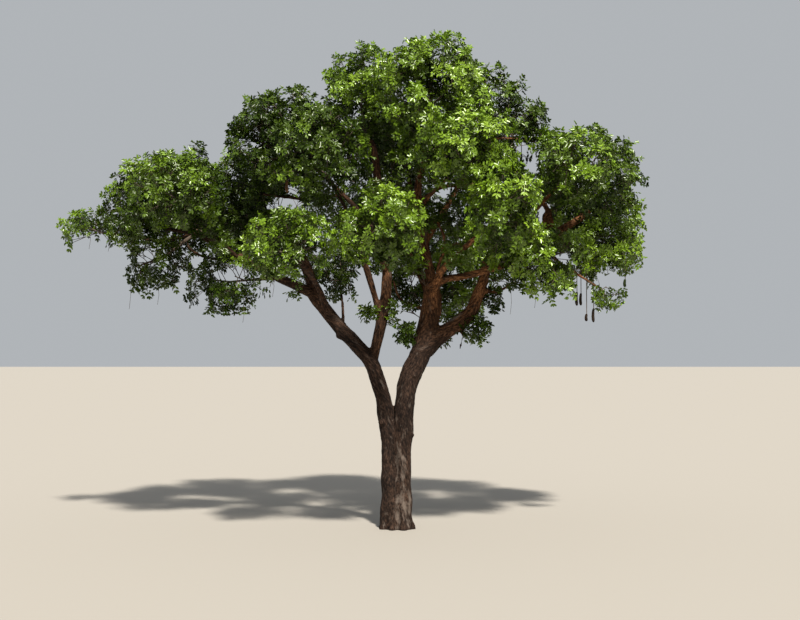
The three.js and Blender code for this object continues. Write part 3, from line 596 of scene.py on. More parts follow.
def bark_material():
    """The material of the whole skin of bark, which follows its grain."""
    material = bpy.data.materials.new("fissured_bark")
    material.use_nodes = True
    tree = material.node_tree
    shader = tree.nodes["Principled BSDF"]
    shader.inputs["Roughness"].default_value = BARK_ROUGHNESS
    shader.inputs["Specular IOR Level"].default_value = BARK_GLOSS
    place = read_from_skin(tree, "grain")
    fissures = shader_node(tree, "TexNoise", Scale=27, Detail=6, Roughness=0.72)
    fissure_tones = shader_node(tree, "ValToRGB")
    deep, high = fissure_tones.color_ramp.elements
    deep.position, deep.color = FISSURE_UP_TO, FISSURE_COLOUR
    high.position, high.color = RIDGE_FROM, RIDGE_COLOUR
    fissure_tones.color_ramp.elements.new(BARK_BETWEEN).color = BARK_COLOUR
    broad = shader_node(tree, "TexNoise", Scale=3.4, Detail=3)
    broad_tones = shader_node(tree, "MapRange", From_Min=0.36, From_Max=0.64, To_Min=0.55, To_Max=1.3)
    shaded = shader_node(tree, "VectorMath")
    shaded.operation = "SCALE"
    # How much warm tint each corner takes: young wood, and painted sunlight.
    age_and_sunlight = read_from_skin(tree, "young_and_sunlit")
    warmed_and_sunlit = colour_mix(tree, "MULTIPLY", YOUNG_AND_SUNLIT_TINT)
    patches = shader_node(tree, "TexNoise", Scale=9, Detail=5, Roughness=0.65)
    scar = read_from_skin(tree, "scarred")
    scaled_off = shader_node(tree, "Math")
    scaled_off.operation = "MULTIPLY_ADD"
    scaled_off.inputs[1].default_value = SCAR_PATCHES
    patch_share = shader_node(tree, "MapRange", From_Min=0.58, From_Max=0.76)
    pale = colour_mix(tree, "MIX", INNER_BARK_COLOUR)
    bump = shader_node(tree, "Bump", Strength=0.7, Distance=0.02)
    link_in_order(
        tree,
        place.outputs["Vector"], fissures.inputs["Vector"],
        place.outputs["Vector"], patches.inputs["Vector"],
        place.outputs["Vector"], broad.inputs["Vector"],
        fissures.outputs["Fac"], fissure_tones.inputs["Fac"],
        broad.outputs["Fac"], broad_tones.inputs["Value"],
        fissure_tones.outputs["Color"], shaded.inputs[0],
        broad_tones.outputs["Result"], shaded.inputs["Scale"],
        scar.outputs["Fac"], scaled_off.inputs[0],
        patches.outputs["Fac"], scaled_off.inputs[2],
        scaled_off.outputs["Value"], patch_share.inputs["Value"],
        patch_share.outputs["Result"], pale.inputs["Factor"],
        age_and_sunlight.outputs["Fac"], warmed_and_sunlit.inputs["Factor"],
        shaded.outputs["Vector"], warmed_and_sunlit.inputs["A"],
        warmed_and_sunlit.outputs["Result"], pale.inputs["A"],
        pale.outputs["Result"], shader.inputs["Base Color"],
        fissures.outputs["Fac"], bump.inputs["Height"],
        bump.outputs["Normal"], shader.inputs["Normal"],
    )
    return material


bark_skin.data.materials.append(bark_material())
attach(bark_skin, "root")
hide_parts("trunk", *[name for name in limb_lines if not name.startswith("trunk_")])

# Each mass of foliage grows from one stem of young wood. The stem forks between the halves of its sprays,
# each fork bends on towards one half, and a new twig leaves it for the other.
STEM_LENGTH = 0.3  # of its mass's mean reach
STEM_RADIUS = 0.9  # of its limb's
STEM_SUNK = 0.05
TUFT_STEM_LENGTH = 0.7  # of the way from its limb to the middle of its mass
FORK_SHARE = 0.4  # of the way to the middle of the tips beyond it
LAST_SHARE = 0.72
TWIG_TAPER = 0.78
TWIG_THINNEST = 0.014
CHILD_RADIUS = 0.72
CHILD_SUNK = 0.5
SPRAYS_ON_TWIG = 8
FIRST_SPRAY = 0.3
LAST_SPRAY = 0.96
SPRAY_LONGEST = 1.4
ROLL = 0.9
SPRAYS_CARRIED = 1.5  # sprays here for each one that the mass has in its plain form
TIP_SHARES = (0.74, 1.02)  # of the space's reach, where a spray ends
TIP_WANDER = 0.3
LEAST_FACING = 1e-6  # a neighbour's plane that faces less than this is never met
FIRST_SEED = 17
SEED_STEP = 7919


def draws_from(seed):
    """A seeded draw between low and high, the same on every run."""
    whole = 0xFFFFFFFF
    state = seed & whole

    def draw(low, high):
        nonlocal state
        state = (state + 0x6D2B79F5) & whole
        mixed = ((state ^ (state >> 15)) * (state | 1)) & whole
        mixed ^= (mixed + (mixed ^ (mixed >> 7)) * (mixed | 61)) & whole
        return low + ((mixed ^ (mixed >> 14)) & whole) / (whole + 1) * (high - low)

    return draw


def cuts_of(name):
    """The planes between a mass and every other, as their directions and distances from its middle."""
    centre, reach, _ = MASSES[name]
    ways, distances = [], []
    for other, (other_centre, other_reach, _) in MASSES.items():
        if other != name:
            towards = np.array(other_centre) - centre
            distance = np.linalg.norm(towards)
            way = towards / distance
            ways.append(way)
            larger = ellipsoid_reach(way, reach) - ellipsoid_reach(way, other_reach)
            distances.append((distance + larger) / 2)
    return np.array(ways), np.array(distances)


def space_reach(name, cuts, direction):
    """How far a mass goes in a direction before it meets its edge or its neighbour's."""
    ways, distances = cuts
    facing = ways @ direction
    ahead = facing > LEAST_FACING
    return min([ellipsoid_reach(direction, MASSES[name][1]), *(distances[ahead] / facing[ahead])])


def tips_of(name, draw):
    """The tips of a mass's sprays: evenly round its middle, each near the edge of its space."""
    centre, _, sprays = MASSES[name]
    count = round(sprays * SPRAYS_CARRIED)
    cuts = cuts_of(name)
    golden_turn = math.pi * (3 - math.sqrt(5))
    tips = []
    for i in range(count):
        up = 1 - (2 * i + 1) / count
        flat = math.sqrt(1 - up * up)
        bearing = i * golden_turn + draw(-TIP_WANDER, TIP_WANDER)
        direction = unit(np.array([flat * math.cos(bearing), flat * math.sin(bearing), up]))
        tips.append(centre + direction * space_reach(name, cuts, direction) * draw(*TIP_SHARES))
    return np.array(tips)


def halves(tips):
    """The tips in two halves, across the axis along which they lie furthest apart."""
    axis = int(np.argmax(tips.max(axis=0) - tips.min(axis=0)))
    ordered = tips[np.argsort(tips[:, axis], kind="stable")]
    middle = math.ceil(len(ordered) / 2)
    return ordered[:middle], ordered[middle:]


def forked(path, own, most, taper, thinnest):
    """Leads a twig on until at most so many of the tips are its own, and lists the forks that it leaves."""
    left = []
    while len(own) > most:
        at, radius = path[-1]
        fork = at + (own.mean(axis=0) - at) * FORK_SHARE
        path.append((fork, max(radius * taper, thinnest)))
        own, other = halves(own)
        left.append((len(path) - 1, other))
    return own, left


def turned(vector, axis, angle):
    """A vector turned about an axis of unit length."""
    aside = np.cross(axis, vector)
    along_axis = axis * axis.dot(vector)
    return vector * math.cos(angle) + aside * math.sin(angle) + along_axis * (1 - math.cos(angle))


# A spray is a thin branchlet of young wood. It goes on forking by the same rule, down to single twigs that
# end in whorls of leaves.
WHORLS_PER_SQUARE_METRE = 12.1
FEWEST_WHORLS = 2
SPRAY_WIDTH = 0.86  # of its length
SPRAY_DEPTH = 0.26  # of its length, to either side of its middle plane
SPRAY_WIDENS = 0.6  # of its length from its foot, over which its sides reach that width
SPRAY_NARROWS = (1.12, 0.42)  # where its narrowing sides would meet, and how long before that they set out
WHORLS_ALONG = 0.8  # of a spray's length, from its tip back, is in leaf
WHORLS_CROWDED = 1.2  # over 1 crowds them towards the tip
WHORL_WANDER = (0.9, 0.25)  # of the step to the next whorl along a spray, and of its width across
GOLDEN_SHARE = 0.618  # from one whorl to the next, across a spray
SPRAY_RADIUS = 0.012
SPRAY_TAPER = 0.86
TWIG_END = 0.0075
TIPS_INSIDE = 0.13  # a whorl's middle stays this far inside its mass

# Sky shows through the crown where twigs have died or never grew. Each gap has its middle, where it crosses
# the upright plane through the trunk as seen from the camera, and its half width and half height there.
SKY_GAPS = [
    ((-2.94, 8.56), (0.38, 0.2)), ((-2.73, 8.9), (0.2, 0.12)), ((-4.3, 6.58), (0.42, 0.2)),
    ((-0.93, 6.38), (0.2, 0.36)), ((-2.0, 6.15), (0.17, 0.24)), ((0.22, 5.54), (0.26, 0.2)),
    ((3.3, 10.0), (0.17, 0.2)), ((-6.59, 7.02), (0.28, 0.2)), ((-5.68, 6.46), (0.16, 0.3)),
    ((-4.8, 9.85), (0.2, 0.34)), ((2.18, 12.55), (0.2, 0.26)), ((-2.05, 11.6), (0.22, 0.42)),
    ((-5.11, 5.96), (0.13, 0.24)), ((-5.28, 6.94), (0.16, 0.18)), ((6.3, 8.93), (0.15, 0.1)),
    ((3.83, 8.29), (0.14, 0.36)), ((0.45, 6.52), (0.18, 0.13)), ((-2.08, 7.23), (0.14, 0.1)),
    ((5.25, 9.65), (0.2, 0.15)), ((4.36, 7.1), (0.25, 0.17)), ((5.64, 6.46), (0.42, 0.27)),
    ((2.85, 6.46), (0.15, 0.1)), ((3.79, 6.1), (0.12, 0.2)), ((4.82, 6.45), (0.17, 0.2)),
    ((1.19, 8.8), (0.18, 0.12)), ((1.59, 8.96), (0.15, 0.1)), ((2.35, 7.97), (0.12, 0.12)),
    ((-8.2, 7.45), (0.34, 0.26)), ((-7.14, 7.02), (0.14, 0.16)), ((4.24, 6.02), (0.12, 0.18)),
    ((-4.35, 11.05), (0.24, 0.26)), ((-3.05, 6.38), (0.5, 0.2)), ((3.62, 9.6), (0.14, 0.25)),
    ((-3.3, 8.42), (0.2, 0.12)), ((-7.5, 9.55), (0.25, 0.25)), ((3.1, 12.02), (0.2, 0.25)),
    ((3.1, 6.05), (0.35, 0.22)), ((-6.15, 6.15), (0.18, 0.14)), ((6.6, 9.5), (0.2, 0.22)),
]
# In other places only the leaves in front of a limb leave a gap, and the limb shows in it against those
# behind. The gaps are given in the same way.
LIMB_GAPS = [
    ((-0.52, 9.9), (0.17, 0.75)), ((4.55, 7.95), (0.42, 0.17)), ((3.98, 8.2), (0.18, 0.38)),
    ((-2.38, 6.72), (0.24, 0.36)), ((-2.9, 8.92), (0.14, 0.3)), ((-1.28, 8.55), (0.2, 0.2)),
    ((3.0, 10.28), (0.45, 0.1)), ((-5.9, 7.76), (0.55, 0.09)), ((-5.05, 7.55), (0.3, 0.1)),
    ((1.69, 4.9), (0.06, 0.3)),
]
GAP_RAGGED = 0.65  # how far the leaves at a gap's rim make it ragged
RIM_WAVES_ACROSS = (23, 7)
RIM_WAVES_UP = (17, 29)
RIM_WARP = 2


def left_open(places):
    """Which of the places stand in the way of the sky or of a limb that shows, seen from the camera."""
    share = -EYE[1] / (places[..., 1] - EYE[1])
    across = EYE[0] + (places[..., 0] - EYE[0]) * share
    up = EYE[2] + (places[..., 2] - EYE[2]) * share
    broad = np.sin(across * RIM_WAVES_ACROSS[0] + RIM_WARP * np.sin(up * RIM_WAVES_UP[0]))
    rim = 1 + GAP_RAGGED * broad * np.sin(up * RIM_WAVES_UP[1] + across * RIM_WAVES_ACROSS[1])
    in_way = np.zeros(across.shape, bool)
    for gaps, near in ((SKY_GAPS, True), (LIMB_GAPS, places[..., 1] < 0)):
        for (middle_x, middle_z), (half_width, half_height) in gaps:
            off = ((across - middle_x) / half_width) ** 2 + ((up - middle_z) / half_height) ** 2
            in_way |= (off < rim) & near
    return in_way


def whorl_places(name, root, away, length, facing, draw):
    """The places of a spray's whorls of leaves: the first at its tip and the others across its outline."""
    centre, reach, _ = MASSES[name]
    across = unit(np.cross(away, facing))
    out = np.cross(across, away)
    count = max(FEWEST_WHORLS, round(WHORLS_PER_SQUARE_METRE * SPRAY_WIDTH * length**2))
    start = draw(0, 1)
    places = []
    for i in range(count):
        share = 1 - WHORLS_ALONG * ((i + draw(0, WHORL_WANDER[0])) / count) ** WHORLS_CROWDED if i else 1
        narrowing = (SPRAY_NARROWS[0] - share) / SPRAY_NARROWS[1]
        half_width = SPRAY_WIDTH / 2 * length * min(share / SPRAY_WIDENS, narrowing)
        place = root + away * share * length
        if i:
            aside = 2 * ((start + i * GOLDEN_SHARE + draw(0, WHORL_WANDER[1])) % 1) - 1
            place = place + across * half_width * aside + out * SPRAY_DEPTH * length * draw(-1, 1)
        from_middle = place - centre
        outside = np.linalg.norm(from_middle / (np.array(reach) - TIPS_INSIDE))
        if outside > 1:
            place = centre + from_middle / outside
        places.append(place)
    places = np.array(places)
    return places[~left_open(places)]


class Shoot:
    """Twigs that fork from one foot down to single whorls of leaves."""

    def __init__(self, centre):
        self.centre = np.array(centre)
        self.twigs = []
        self.sprays = []
        self.whorls = []

    def branch_out(self, path, places):
        """A twig that forks between the halves of its whorls until it has one, where it ends."""
        own, left = forked(path, places, 1, SPRAY_TAPER, TWIG_END)
        path.append((own[0], TWIG_END))
        self.twigs.append(path)
        self.whorls.append((own[0], unit(own[0] - path[-2][0]), len(self.sprays) - 1))
        for step, others in left:
            self.branch_out([path[step]], others)


class Mass(Shoot):
    """The twigs and the whorls of one mass of foliage, grown from the foot of its stem."""

    def __init__(self, name, foot, stem_end, stem_radius):
        super().__init__(MASSES[name][0])
        self.name = name
        self.forks = []
        seed = list(MASSES).index(name) * SEED_STEP + FIRST_SEED
        self.draw = draws_from(seed)
        self.fine_draw = draws_from(seed + 1)
        one, other = halves(tips_of(name, self.draw))
        stem_tip = (stem_end, stem_radius * TWIG_TAPER)
        self.run([(foot, stem_radius), stem_tip], one)
        self.leave_fork(stem_tip, foot, other)

    def run(self, path, tips):
        """A twig that bears the sprays of its nearest tips and leaves a fork for the others."""
        own, left = forked(path, tips, SPRAYS_ON_TWIG, TWIG_TAPER, TWIG_THINNEST)
        base, base_radius = path[-1]
        end = base + (own.mean(axis=0) - base) * LAST_SHARE
        end_radius = max(base_radius * TWIG_TAPER, TWIG_THINNEST)
        path.append((end, end_radius))
        self.twigs.append(path)
        self.forks.extend(at for at, _ in path[1:-1])
        self.bear_sprays(base, end, own)
        for step, others in left:
            self.leave_fork(path[step], path[step - 1][0], others)

    def leave_fork(self, fork, before, tips):
        """A new twig from inside the wood of a fork."""
        at, radius = fork
        start = at + unit(before - at) * radius * CHILD_SUNK
        self.run([(start, radius * CHILD_RADIUS)], tips)

    def bear_sprays(self, base, end, tips):
        """The sprays of a twig's tips, in their order along its last stretch."""
        heading = unit(end - base)
        ordered = tips[np.argsort(tips @ heading, kind="stable")]
        for i, tip in enumerate(ordered):
            share = 1 if len(tips) == 1 else FIRST_SPRAY + (1 - FIRST_SPRAY) * i / (len(tips) - 1)
            root = base + (end - base) * share * LAST_SPRAY
            away = tip - root
            length = min(np.linalg.norm(away), SPRAY_LONGEST)
            away = unit(away)
            facing = turned(heading, away, self.draw(-ROLL, ROLL))
            places = whorl_places(self.name, root, away, length, facing, self.fine_draw)
            if len(places):
                self.sprays.append((root, away * length))
                self.branch_out([(root, SPRAY_RADIUS)], places)


# Leaves stand in whorls at the twigs' ends. Each is a stalk with two pairs of oval leathery leaflets and one
# more at its end, folded a little along the midrib, and the whole leaf droops towards its tip.
LEAVES_IN_WHORL = 6
LEAF_LENGTH = (0.155, 0.225)
LEAF_OPENINGS = (28, 84, 60, 96, 40, 74)  # degrees from the twig's line, leaf by leaf round the whorl
LEAF_DROOP = 0.12
PAIR_PLACES = (0.4, 0.82)
LEAFLET_LENGTH = 0.56  # of its leaf's
LEAFLET_WIDTH = 0.5  # of its own length
LEAFLET_ANGLE = 36  # degrees forward from square to the stalk
LEAFLET_OUTLINE = ((0.34, 0.5), (0.76, 0.37))  # places along it and half widths, of its length and width
LEAFLET_LENGTHS = (0.85, 1.1)
LEAFLET_DROOPS = (-0.2, 0.5)
LEAFLET_TWIST = 0.55
FOLD = 0.14
STALK_WIDTH = 0.012
STALK_TAPER = 0.5
LEAF_MIDDLE = 0.75  # of its length, where its leaflets are centred
WHORL_HEADING = (0.7, 0.35, 0.35, 0.25)  # shares of the twig's line, of outwards, of upwards and of chance
WHORL_TURN = 0.3
LEAF_OPENING_CHANCE = 12
UPRIGHT = 0.9  # whorls steeper than this take their round from the east, and the others from above
DROOP_HEADING = (0.6, 0.4)  # shares of straight down and of the leaf's own underside


def unit_rows(vectors):
    """Each vector's direction, with a length of one."""
    return vectors / np.linalg.norm(vectors, axis=-1, keepdims=True)


def leaves_of(mass, rng):
    """The corners, four-cornered faces and whorl numbers of all the leaves of a mass."""
    places = np.array([place for place, *_ in mass.whorls])
    headings = np.array([heading for _, heading, _ in mass.whorls])
    outwards = unit_rows(places - mass.centre)
    own, out, up, chance = WHORL_HEADING
    leaning = headings * own + outwards * out + np.array([0, 0, up])
    axes = unit_rows(leaning + rng.normal(0, chance, headings.shape))
    count = len(places)
    spare = np.where(np.abs(axes[:, 2:]) < UPRIGHT, [[0, 0, 1.0]], [[1.0, 0, 0]])
    first = unit_rows(np.cross(axes, spare))
    second = np.cross(axes, first)
    start = rng.uniform(0, 2 * math.pi, (count, 1))
    spread = np.arange(LEAVES_IN_WHORL) * 2 * math.pi / LEAVES_IN_WHORL
    leaves = (count, LEAVES_IN_WHORL)
    turns = start + spread + rng.uniform(-WHORL_TURN, WHORL_TURN, leaves)
    chance = rng.uniform(-LEAF_OPENING_CHANCE, LEAF_OPENING_CHANCE, leaves)
    opening = np.radians(np.array(LEAF_OPENINGS) + chance)
    flat = np.cos(turns)[..., None] * first[:, None] + np.sin(turns)[..., None] * second[:, None]
    forward = np.cos(opening)[..., None] * axes[:, None] + np.sin(opening)[..., None] * flat
    above = unit_rows(np.sin(opening)[..., None] * axes[:, None] - np.cos(opening)[..., None] * flat)
    beside = np.cross(forward, above)
    length = rng.uniform(*LEAF_LENGTH, (*leaves, 1))
    down = unit_rows(np.array([0, 0, -DROOP_HEADING[0]]) - above * DROOP_HEADING[1])

    corners, faces, whorl = [], [], []
    total = 0

    def along(share):
        """The places on all the leaves at a share of their length."""
        return places[:, None] + forward * length * share + down * length * LEAF_DROOP * share**2

    kept = ~left_open(along(LEAF_MIDDLE))
    leaf_whorl = np.nonzero(kept)[0]

    def add(rows, quads):
        """One such shape for each leaf that is kept."""
        nonlocal total
        stack = np.stack([row[kept] for row in rows], 1)
        number = len(stack)
        corners.append(stack.reshape(-1, 3))
        step = np.arange(number)[:, None, None] * len(rows) + total
        faces.append((np.array(quads)[None] + step).reshape(-1, 4))
        whorl.append(np.repeat(leaf_whorl, len(quads)))
        total += number * len(rows)

    half_stalk = beside * STALK_WIDTH / 2
    foot, top = along(0), along(PAIR_PLACES[-1])
    half_top = half_stalk * STALK_TAPER
    add([foot - half_stalk, foot + half_stalk, top + half_top, top - half_top], [(0, 1, 2, 3)])

    angle = math.radians(LEAFLET_ANGLE)
    leaflets = [(share, side) for share in PAIR_PLACES for side in (-1, 1)] + [(PAIR_PLACES[-1], 0)]
    for share, side in leaflets:
        way = unit_rows(forward + down * 2 * LEAF_DROOP * share)
        if side:
            way = way * math.sin(angle) + beside * side * math.cos(angle)
        way = unit_rows(way + down * rng.uniform(*LEAFLET_DROOPS, (*leaves, 1)))
        leaflet = length * LEAFLET_LENGTH * rng.uniform(*LEAFLET_LENGTHS, (*leaves, 1))
        twist = rng.uniform(-LEAFLET_TWIST, LEAFLET_TWIST, (*leaves, 1))
        width = unit_rows(np.cross(way, above + beside * twist)) * leaflet * LEAFLET_WIDTH
        lift = np.cross(unit_rows(width), way) * leaflet * FOLD
        root = along(share)
        (low_at, low_wide), (high_at, high_wide) = LEAFLET_OUTLINE
        low = root + way * leaflet * low_at
        high = root + way * leaflet * high_at
        rows = [
            root,
            low + width * low_wide + lift,
            high + width * high_wide + lift,
            root + way * leaflet,
            high - width * high_wide + lift,
            low - width * low_wide + lift,
        ]
        add(rows, [(0, 1, 2, 3), (0, 3, 4, 5)])
    return np.vstack(corners), np.vstack(faces), np.concatenate(whorl)


# The leaves are waxy and glossy: yellow-green on the young sprays at the crown's edge and dark green on the
# old ones inside it. The tints also hold painted light, paler on tops and outsides, and painted shade,
# darker deep inside the crown and below each mass and spray.
LEAF_TINTS = [
    (0.020, 0.038, 0.002),
    (0.040, 0.070, 0.003),
    (0.065, 0.114, 0.005),
    (0.098, 0.168, 0.007),
    (0.136, 0.230, 0.010),
    (0.184, 0.292, 0.018),
]
LEAF_GLOSS = (0.2, 0.32, 0.42, 0.48, 0.54, 0.6)
LEAF_ROUGHNESS = 0.3
TWIG_COLOUR = (0.085, 0.06, 0.042)
TWIG_ROUGHNESS = 0.8
# How much paler each mass's leaves are than the rest, from younger leaves and painted light, and how much
# darker, from older leaves and painted shade.
YOUNG_AND_LIT_MASSES = {
    "front_top": 0.4, "front_east": 0.3, "southeast": 0.65, "east_low": 0.65, "front_west": 0.25,
    "front_centre": 0.25, "centre_low": 0.65, "centre_hang": 0.1, "centre_deep": 0.3, "top_east": -0.4,
    "northwest": -0.6, "front_northwest": -0.45, "east_upper": -0.25, "west_crest": -0.25,
    "west_outer": -0.1, "west_front": -0.2, "top_centre": 0.35, "top_west": 0.2, "west_hang": -0.35,
    "west_droop": -0.3, "tuft_fork": -0.6, "tuft_bend": -0.4, "tuft_east": -0.3,
}
CROWN_MIDDLE = np.array([-0.9, 0.3, 8.2])
CROWN_REACH = np.array([7.9, 5.0, 4.9])
# How much paler the leaves are painted outwards and upwards in the crown and in their mass, and along and
# above the line of their spray: younger leaves towards the ends, painted light on tops and outsides, and
# painted shade inside and below.
YOUNG_AND_LIT_IN_CROWN = (0.7, 0.2)
LIT_IN_MASS = (0.25, 0.35)
YOUNG_AND_LIT_ON_SPRAY = (1.1, 1.2)
PALER_BY_CHANCE = (0.32, 0.36)  # from spray to spray, and from whorl to whorl
TINTS_APART = 2.4
DARKEST_UP_TO = 1.85
THICK_TWIG = 0.02
THICK_TWIG_SIDES = 5
TWIG_SIDES = 3
# Most masses grow from the branch of their own name, some from the end of a bough, and the tufts and a few
# more from the side of a limb, at a share of its length and with a stem of their own radius.
MASS_LIMBS = {
    "west_outer": "bough_west_far", "top_west": "leader_west", "top_centre": "leader_centre",
    "east_low": "bough_east_far", "southeast": "bough_east_low",
}
TUFT_STEMS = {
    "west_crest": ("bough_west_far", 0.8, 0.05), "west_droop": ("bough_west_far", 0.86, 0.05),
    "centre_low": ("bough_centre", 0.92, 0.045), "centre_deep": ("bough_centre", 0.72, 0.03),
    "tuft_fork": ("bough_centre", 0.5, 0.022), "tuft_east": ("bough_east", 0.62, 0.022),
    "tuft_bend": ("bough_east", 0.82, 0.022),
}


def glossy_material(name, colour, roughness, gloss):
    """One even colour with its roughness and the strength of its shine."""
    material = plain_material(name, colour, roughness)
    material.node_tree.nodes["Principled BSDF"].inputs["Specular IOR Level"].default_value = gloss
    return material


def twig_shapes(shoot):
    """The bars of a shoot's twigs."""
    for path in shoot.twigs:
        radii = np.array([radius for _, radius in path])
        sides = THICK_TWIG_SIDES if radii[0] > THICK_TWIG else TWIG_SIDES
        yield tube(np.array([at for at, _ in path]), radii, sides)


def leaf_tints(mass, name, rng):
    """The tint of each whorl of a mass, by number: higher is paler, from younger leaves and painted light,
    and lower is darker with painted shade.
    """
    centre, reach, _ = MASSES[name]
    places = np.array([place for place, *_ in mass.whorls])
    spray = np.array([number for *_, number in mass.whorls])
    roots = np.array([root for root, _ in mass.sprays])[spray]
    lines = np.array([line for _, line in mass.sprays])[spray]
    out_along = ((places - roots) * lines).sum(axis=1) / (lines**2).sum(axis=1)
    above_line = (places - roots - lines * out_along[:, None])[:, 2]
    in_crown = (places - CROWN_MIDDLE) / CROWN_REACH
    in_mass = (places - centre) / reach
    # Painted light on tops and outsides, painted shade inside and below, and younger leaves at the ends.
    light = YOUNG_AND_LIT_IN_CROWN[0] * np.linalg.norm(in_crown, axis=1) + YOUNG_AND_LIT_IN_CROWN[1] * in_crown[:, 2]
    light = light + LIT_IN_MASS[1] * in_mass[:, 2]
    light = light + LIT_IN_MASS[0] * np.linalg.norm(in_mass, axis=1)
    light = light + YOUNG_AND_LIT_ON_SPRAY[0] * out_along + YOUNG_AND_LIT_ON_SPRAY[1] * above_line
    light = light + YOUNG_AND_LIT_MASSES.get(name, 0)
    light = light + rng.normal(0, PALER_BY_CHANCE[0], len(mass.sprays))[spray]
    light = light + rng.normal(0, PALER_BY_CHANCE[1], len(places))
    return np.clip(np.round(light * TINTS_APART - DARKEST_UP_TO), 0, len(LEAF_TINTS) - 1).astype(np.int32)


def twig_piece(name, shoot):
    """All the twigs of a shoot as one piece."""
    twigs = mesh_piece(name, *joined(twig_shapes(shoot)))
    twigs.data.materials.append(twig_material)
    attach(twigs, "root")


def leaf_piece(name, leaves, tints):
    """All the leaves of a shoot as one piece, in the tints of their whorls."""
    corners, faces, whorl = leaves
    piece = mesh_piece(name, corners, faces)
    for material in leaf_materials:
        piece.data.materials.append(material)
    piece.data.polygons.foreach_set("material_index", tints[whorl])
    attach(piece, "root")
    return piece


leaf_materials = [
    glossy_material(f"leaf_green_{i + 1}", tint, LEAF_ROUGHNESS, gloss)
    for i, (tint, gloss) in enumerate(zip(LEAF_TINTS, LEAF_GLOSS))
]
twig_material = plain_material("young_bark", TWIG_COLOUR, TWIG_ROUGHNESS)
foliage = {}
for index, (name, (centre, reach, _)) in enumerate(MASSES.items()):
    if name in TUFT_STEMS:
        limb, share, stem_radius = TUFT_STEMS[name]
        foot = limb_lines[limb].at(share)
        stem_end = foot + (np.array(centre) - foot) * TUFT_STEM_LENGTH
    else:
        limb = MASS_LIMBS.get(name, "branch_" + name)
        middles, radii = rows_of(limb)
        heading = unit(middles[-1] - middles[-3])
        foot = middles[-1] - heading * STEM_SUNK
        stem_radius = radii[-1] * STEM_RADIUS
        stem_end = middles[-1] + heading * STEM_LENGTH * (reach[0] + reach[2]) / 2
    mass = Mass(name, foot, stem_end, stem_radius)
    foliage[name] = mass
    rng = np.random.default_rng(index + 1)
    twig_piece("twigs_" + name, mass)
    grown = leaves_of(mass, rng)
    leaves = leaf_piece("leaves_" + name, grown, leaf_tints(mass, name, rng))
    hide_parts(name)

# Leafy sprigs sprout here and there straight from the bark of the limbs and fill thin places in the crown:
# the limb and the share of its length, the middle of the sprig, how far it reaches, its whorls and its tint.
SPRIGS = [
    ("bough_centre_west", 0.66, (-0.74, -0.05, 5.62), 0.2, 7, 1),
    ("bough_centre_west", 0.7, (-0.08, 0.05, 5.72), 0.2, 5, 3),
    ("bough_centre_west", 0.42, (-0.12, 0.1, 5.42), 0.1, 2, 3),
    ("bough_centre", 0.66, (0.3, -0.2, 5.75), 0.16, 4, 2),
    ("bough_centre", 0.45, (0.28, -0.3, 5.28), 0.16, 4, 1),
    ("bough_east", 0.14, (1.24, 0.0, 4.88), 0.13, 3, 1),
    ("bough_east", 0.3, (1.42, 0.25, 5.6), 0.26, 9, 3),
    ("bough_east", 0.55, (1.85, 0.3, 6.0), 0.26, 9, 4),
    ("bough_east", 0.95, (2.75, -0.1, 6.55), 0.24, 8, 2),
    ("bough_west", 0.97, (-2.35, 0.2, 6.55), 0.26, 7, 1),
    ("bough_west_far", 0.12, (-2.75, -0.3, 6.15), 0.13, 3, 2),
    ("bough_west_far", 0.3, (-3.25, -0.25, 6.32), 0.16, 4, 1),
    ("bough_west_far", 0.5, (-4.3, -0.45, 7.2), 0.25, 9, 1),
    ("bough_west_far", 0.6, (-4.75, -0.45, 7.58), 0.3, 14, 1),
    ("branch_west_front", 0.5, (-4.45, -1.5, 7.32), 0.3, 12, 1),
    ("branch_west_front", 0.75, (-4.8, -1.9, 7.72), 0.32, 12, 0),
    ("leader_west", 0.45, (-0.3, -1.1, 8.6), 0.6, 22, 1),
    ("leader_west", 0.55, (0.15, -1.2, 9.3), 0.5, 16, 1),
    ("leader_centre", 0.35, (1.3, -0.1, 8.2), 0.4, 14, 1),
    ("branch_northwest", 0.8, (-2.1, -0.3, 8.6), 0.35, 10, 1),
    ("branch_northwest", 1, (-3.15, -0.4, 11.2), 0.28, 9, 2),
    ("branch_east_upper", 1, (4.0, -0.1, 10.3), 0.25, 7, 3),
    ("leader_centre", 1, (1.0, -0.2, 11.85), 0.55, 26, 2),
    ("branch_top_east", 1, (2.35, 0.3, 11.75), 0.36, 12, 1),
    ("branch_top_east", 1, (3.75, 0.7, 11.0), 0.3, 8, 2),
    ("branch_northwest", 1, (-4.0, -0.3, 10.25), 0.32, 10, 2),
    ("leader_centre", 0.25, (0.75, -0.6, 8.05), 0.42, 14, 1),
    ("branch_front_east", 0.5, (1.5, -1.45, 7.1), 0.4, 14, 2),
    ("bough_east", 1, (2.48, -0.35, 7.2), 0.28, 9, 2),
    ("bough_centre", 0.9, (0.5, -0.45, 6.75), 0.2, 6, 3),
    ("branch_front_northwest", 0.55, (-1.4, -1.3, 7.3), 0.42, 16, 4),
]
SPRIG_HEART = 0.4  # of its reach, inside which a sprig has no whorls
sprigs = Shoot((0, 0, 0))
sprig_draw = draws_from(FIRST_SEED)
sprig_tints = []
for limb, share, centre, reach, count, tint in SPRIGS:
    ways = [unit(np.array([sprig_draw(-1, 1) for _ in range(3)])) for _ in range(count)]
    steps = np.array([way * sprig_draw(SPRIG_HEART, 1) for way in ways])
    sprigs.branch_out([(limb_lines[limb].at(share), TWIG_THINNEST)], np.array(centre) + steps * reach)
    sprig_tints += [tint] * count
grown = leaves_of(sprigs, np.random.default_rng(len(MASSES) + 1))
leaf_piece("sprig_leaves", grown, np.array(sprig_tints, np.int32))
twig_piece("sprig_twigs", sprigs)
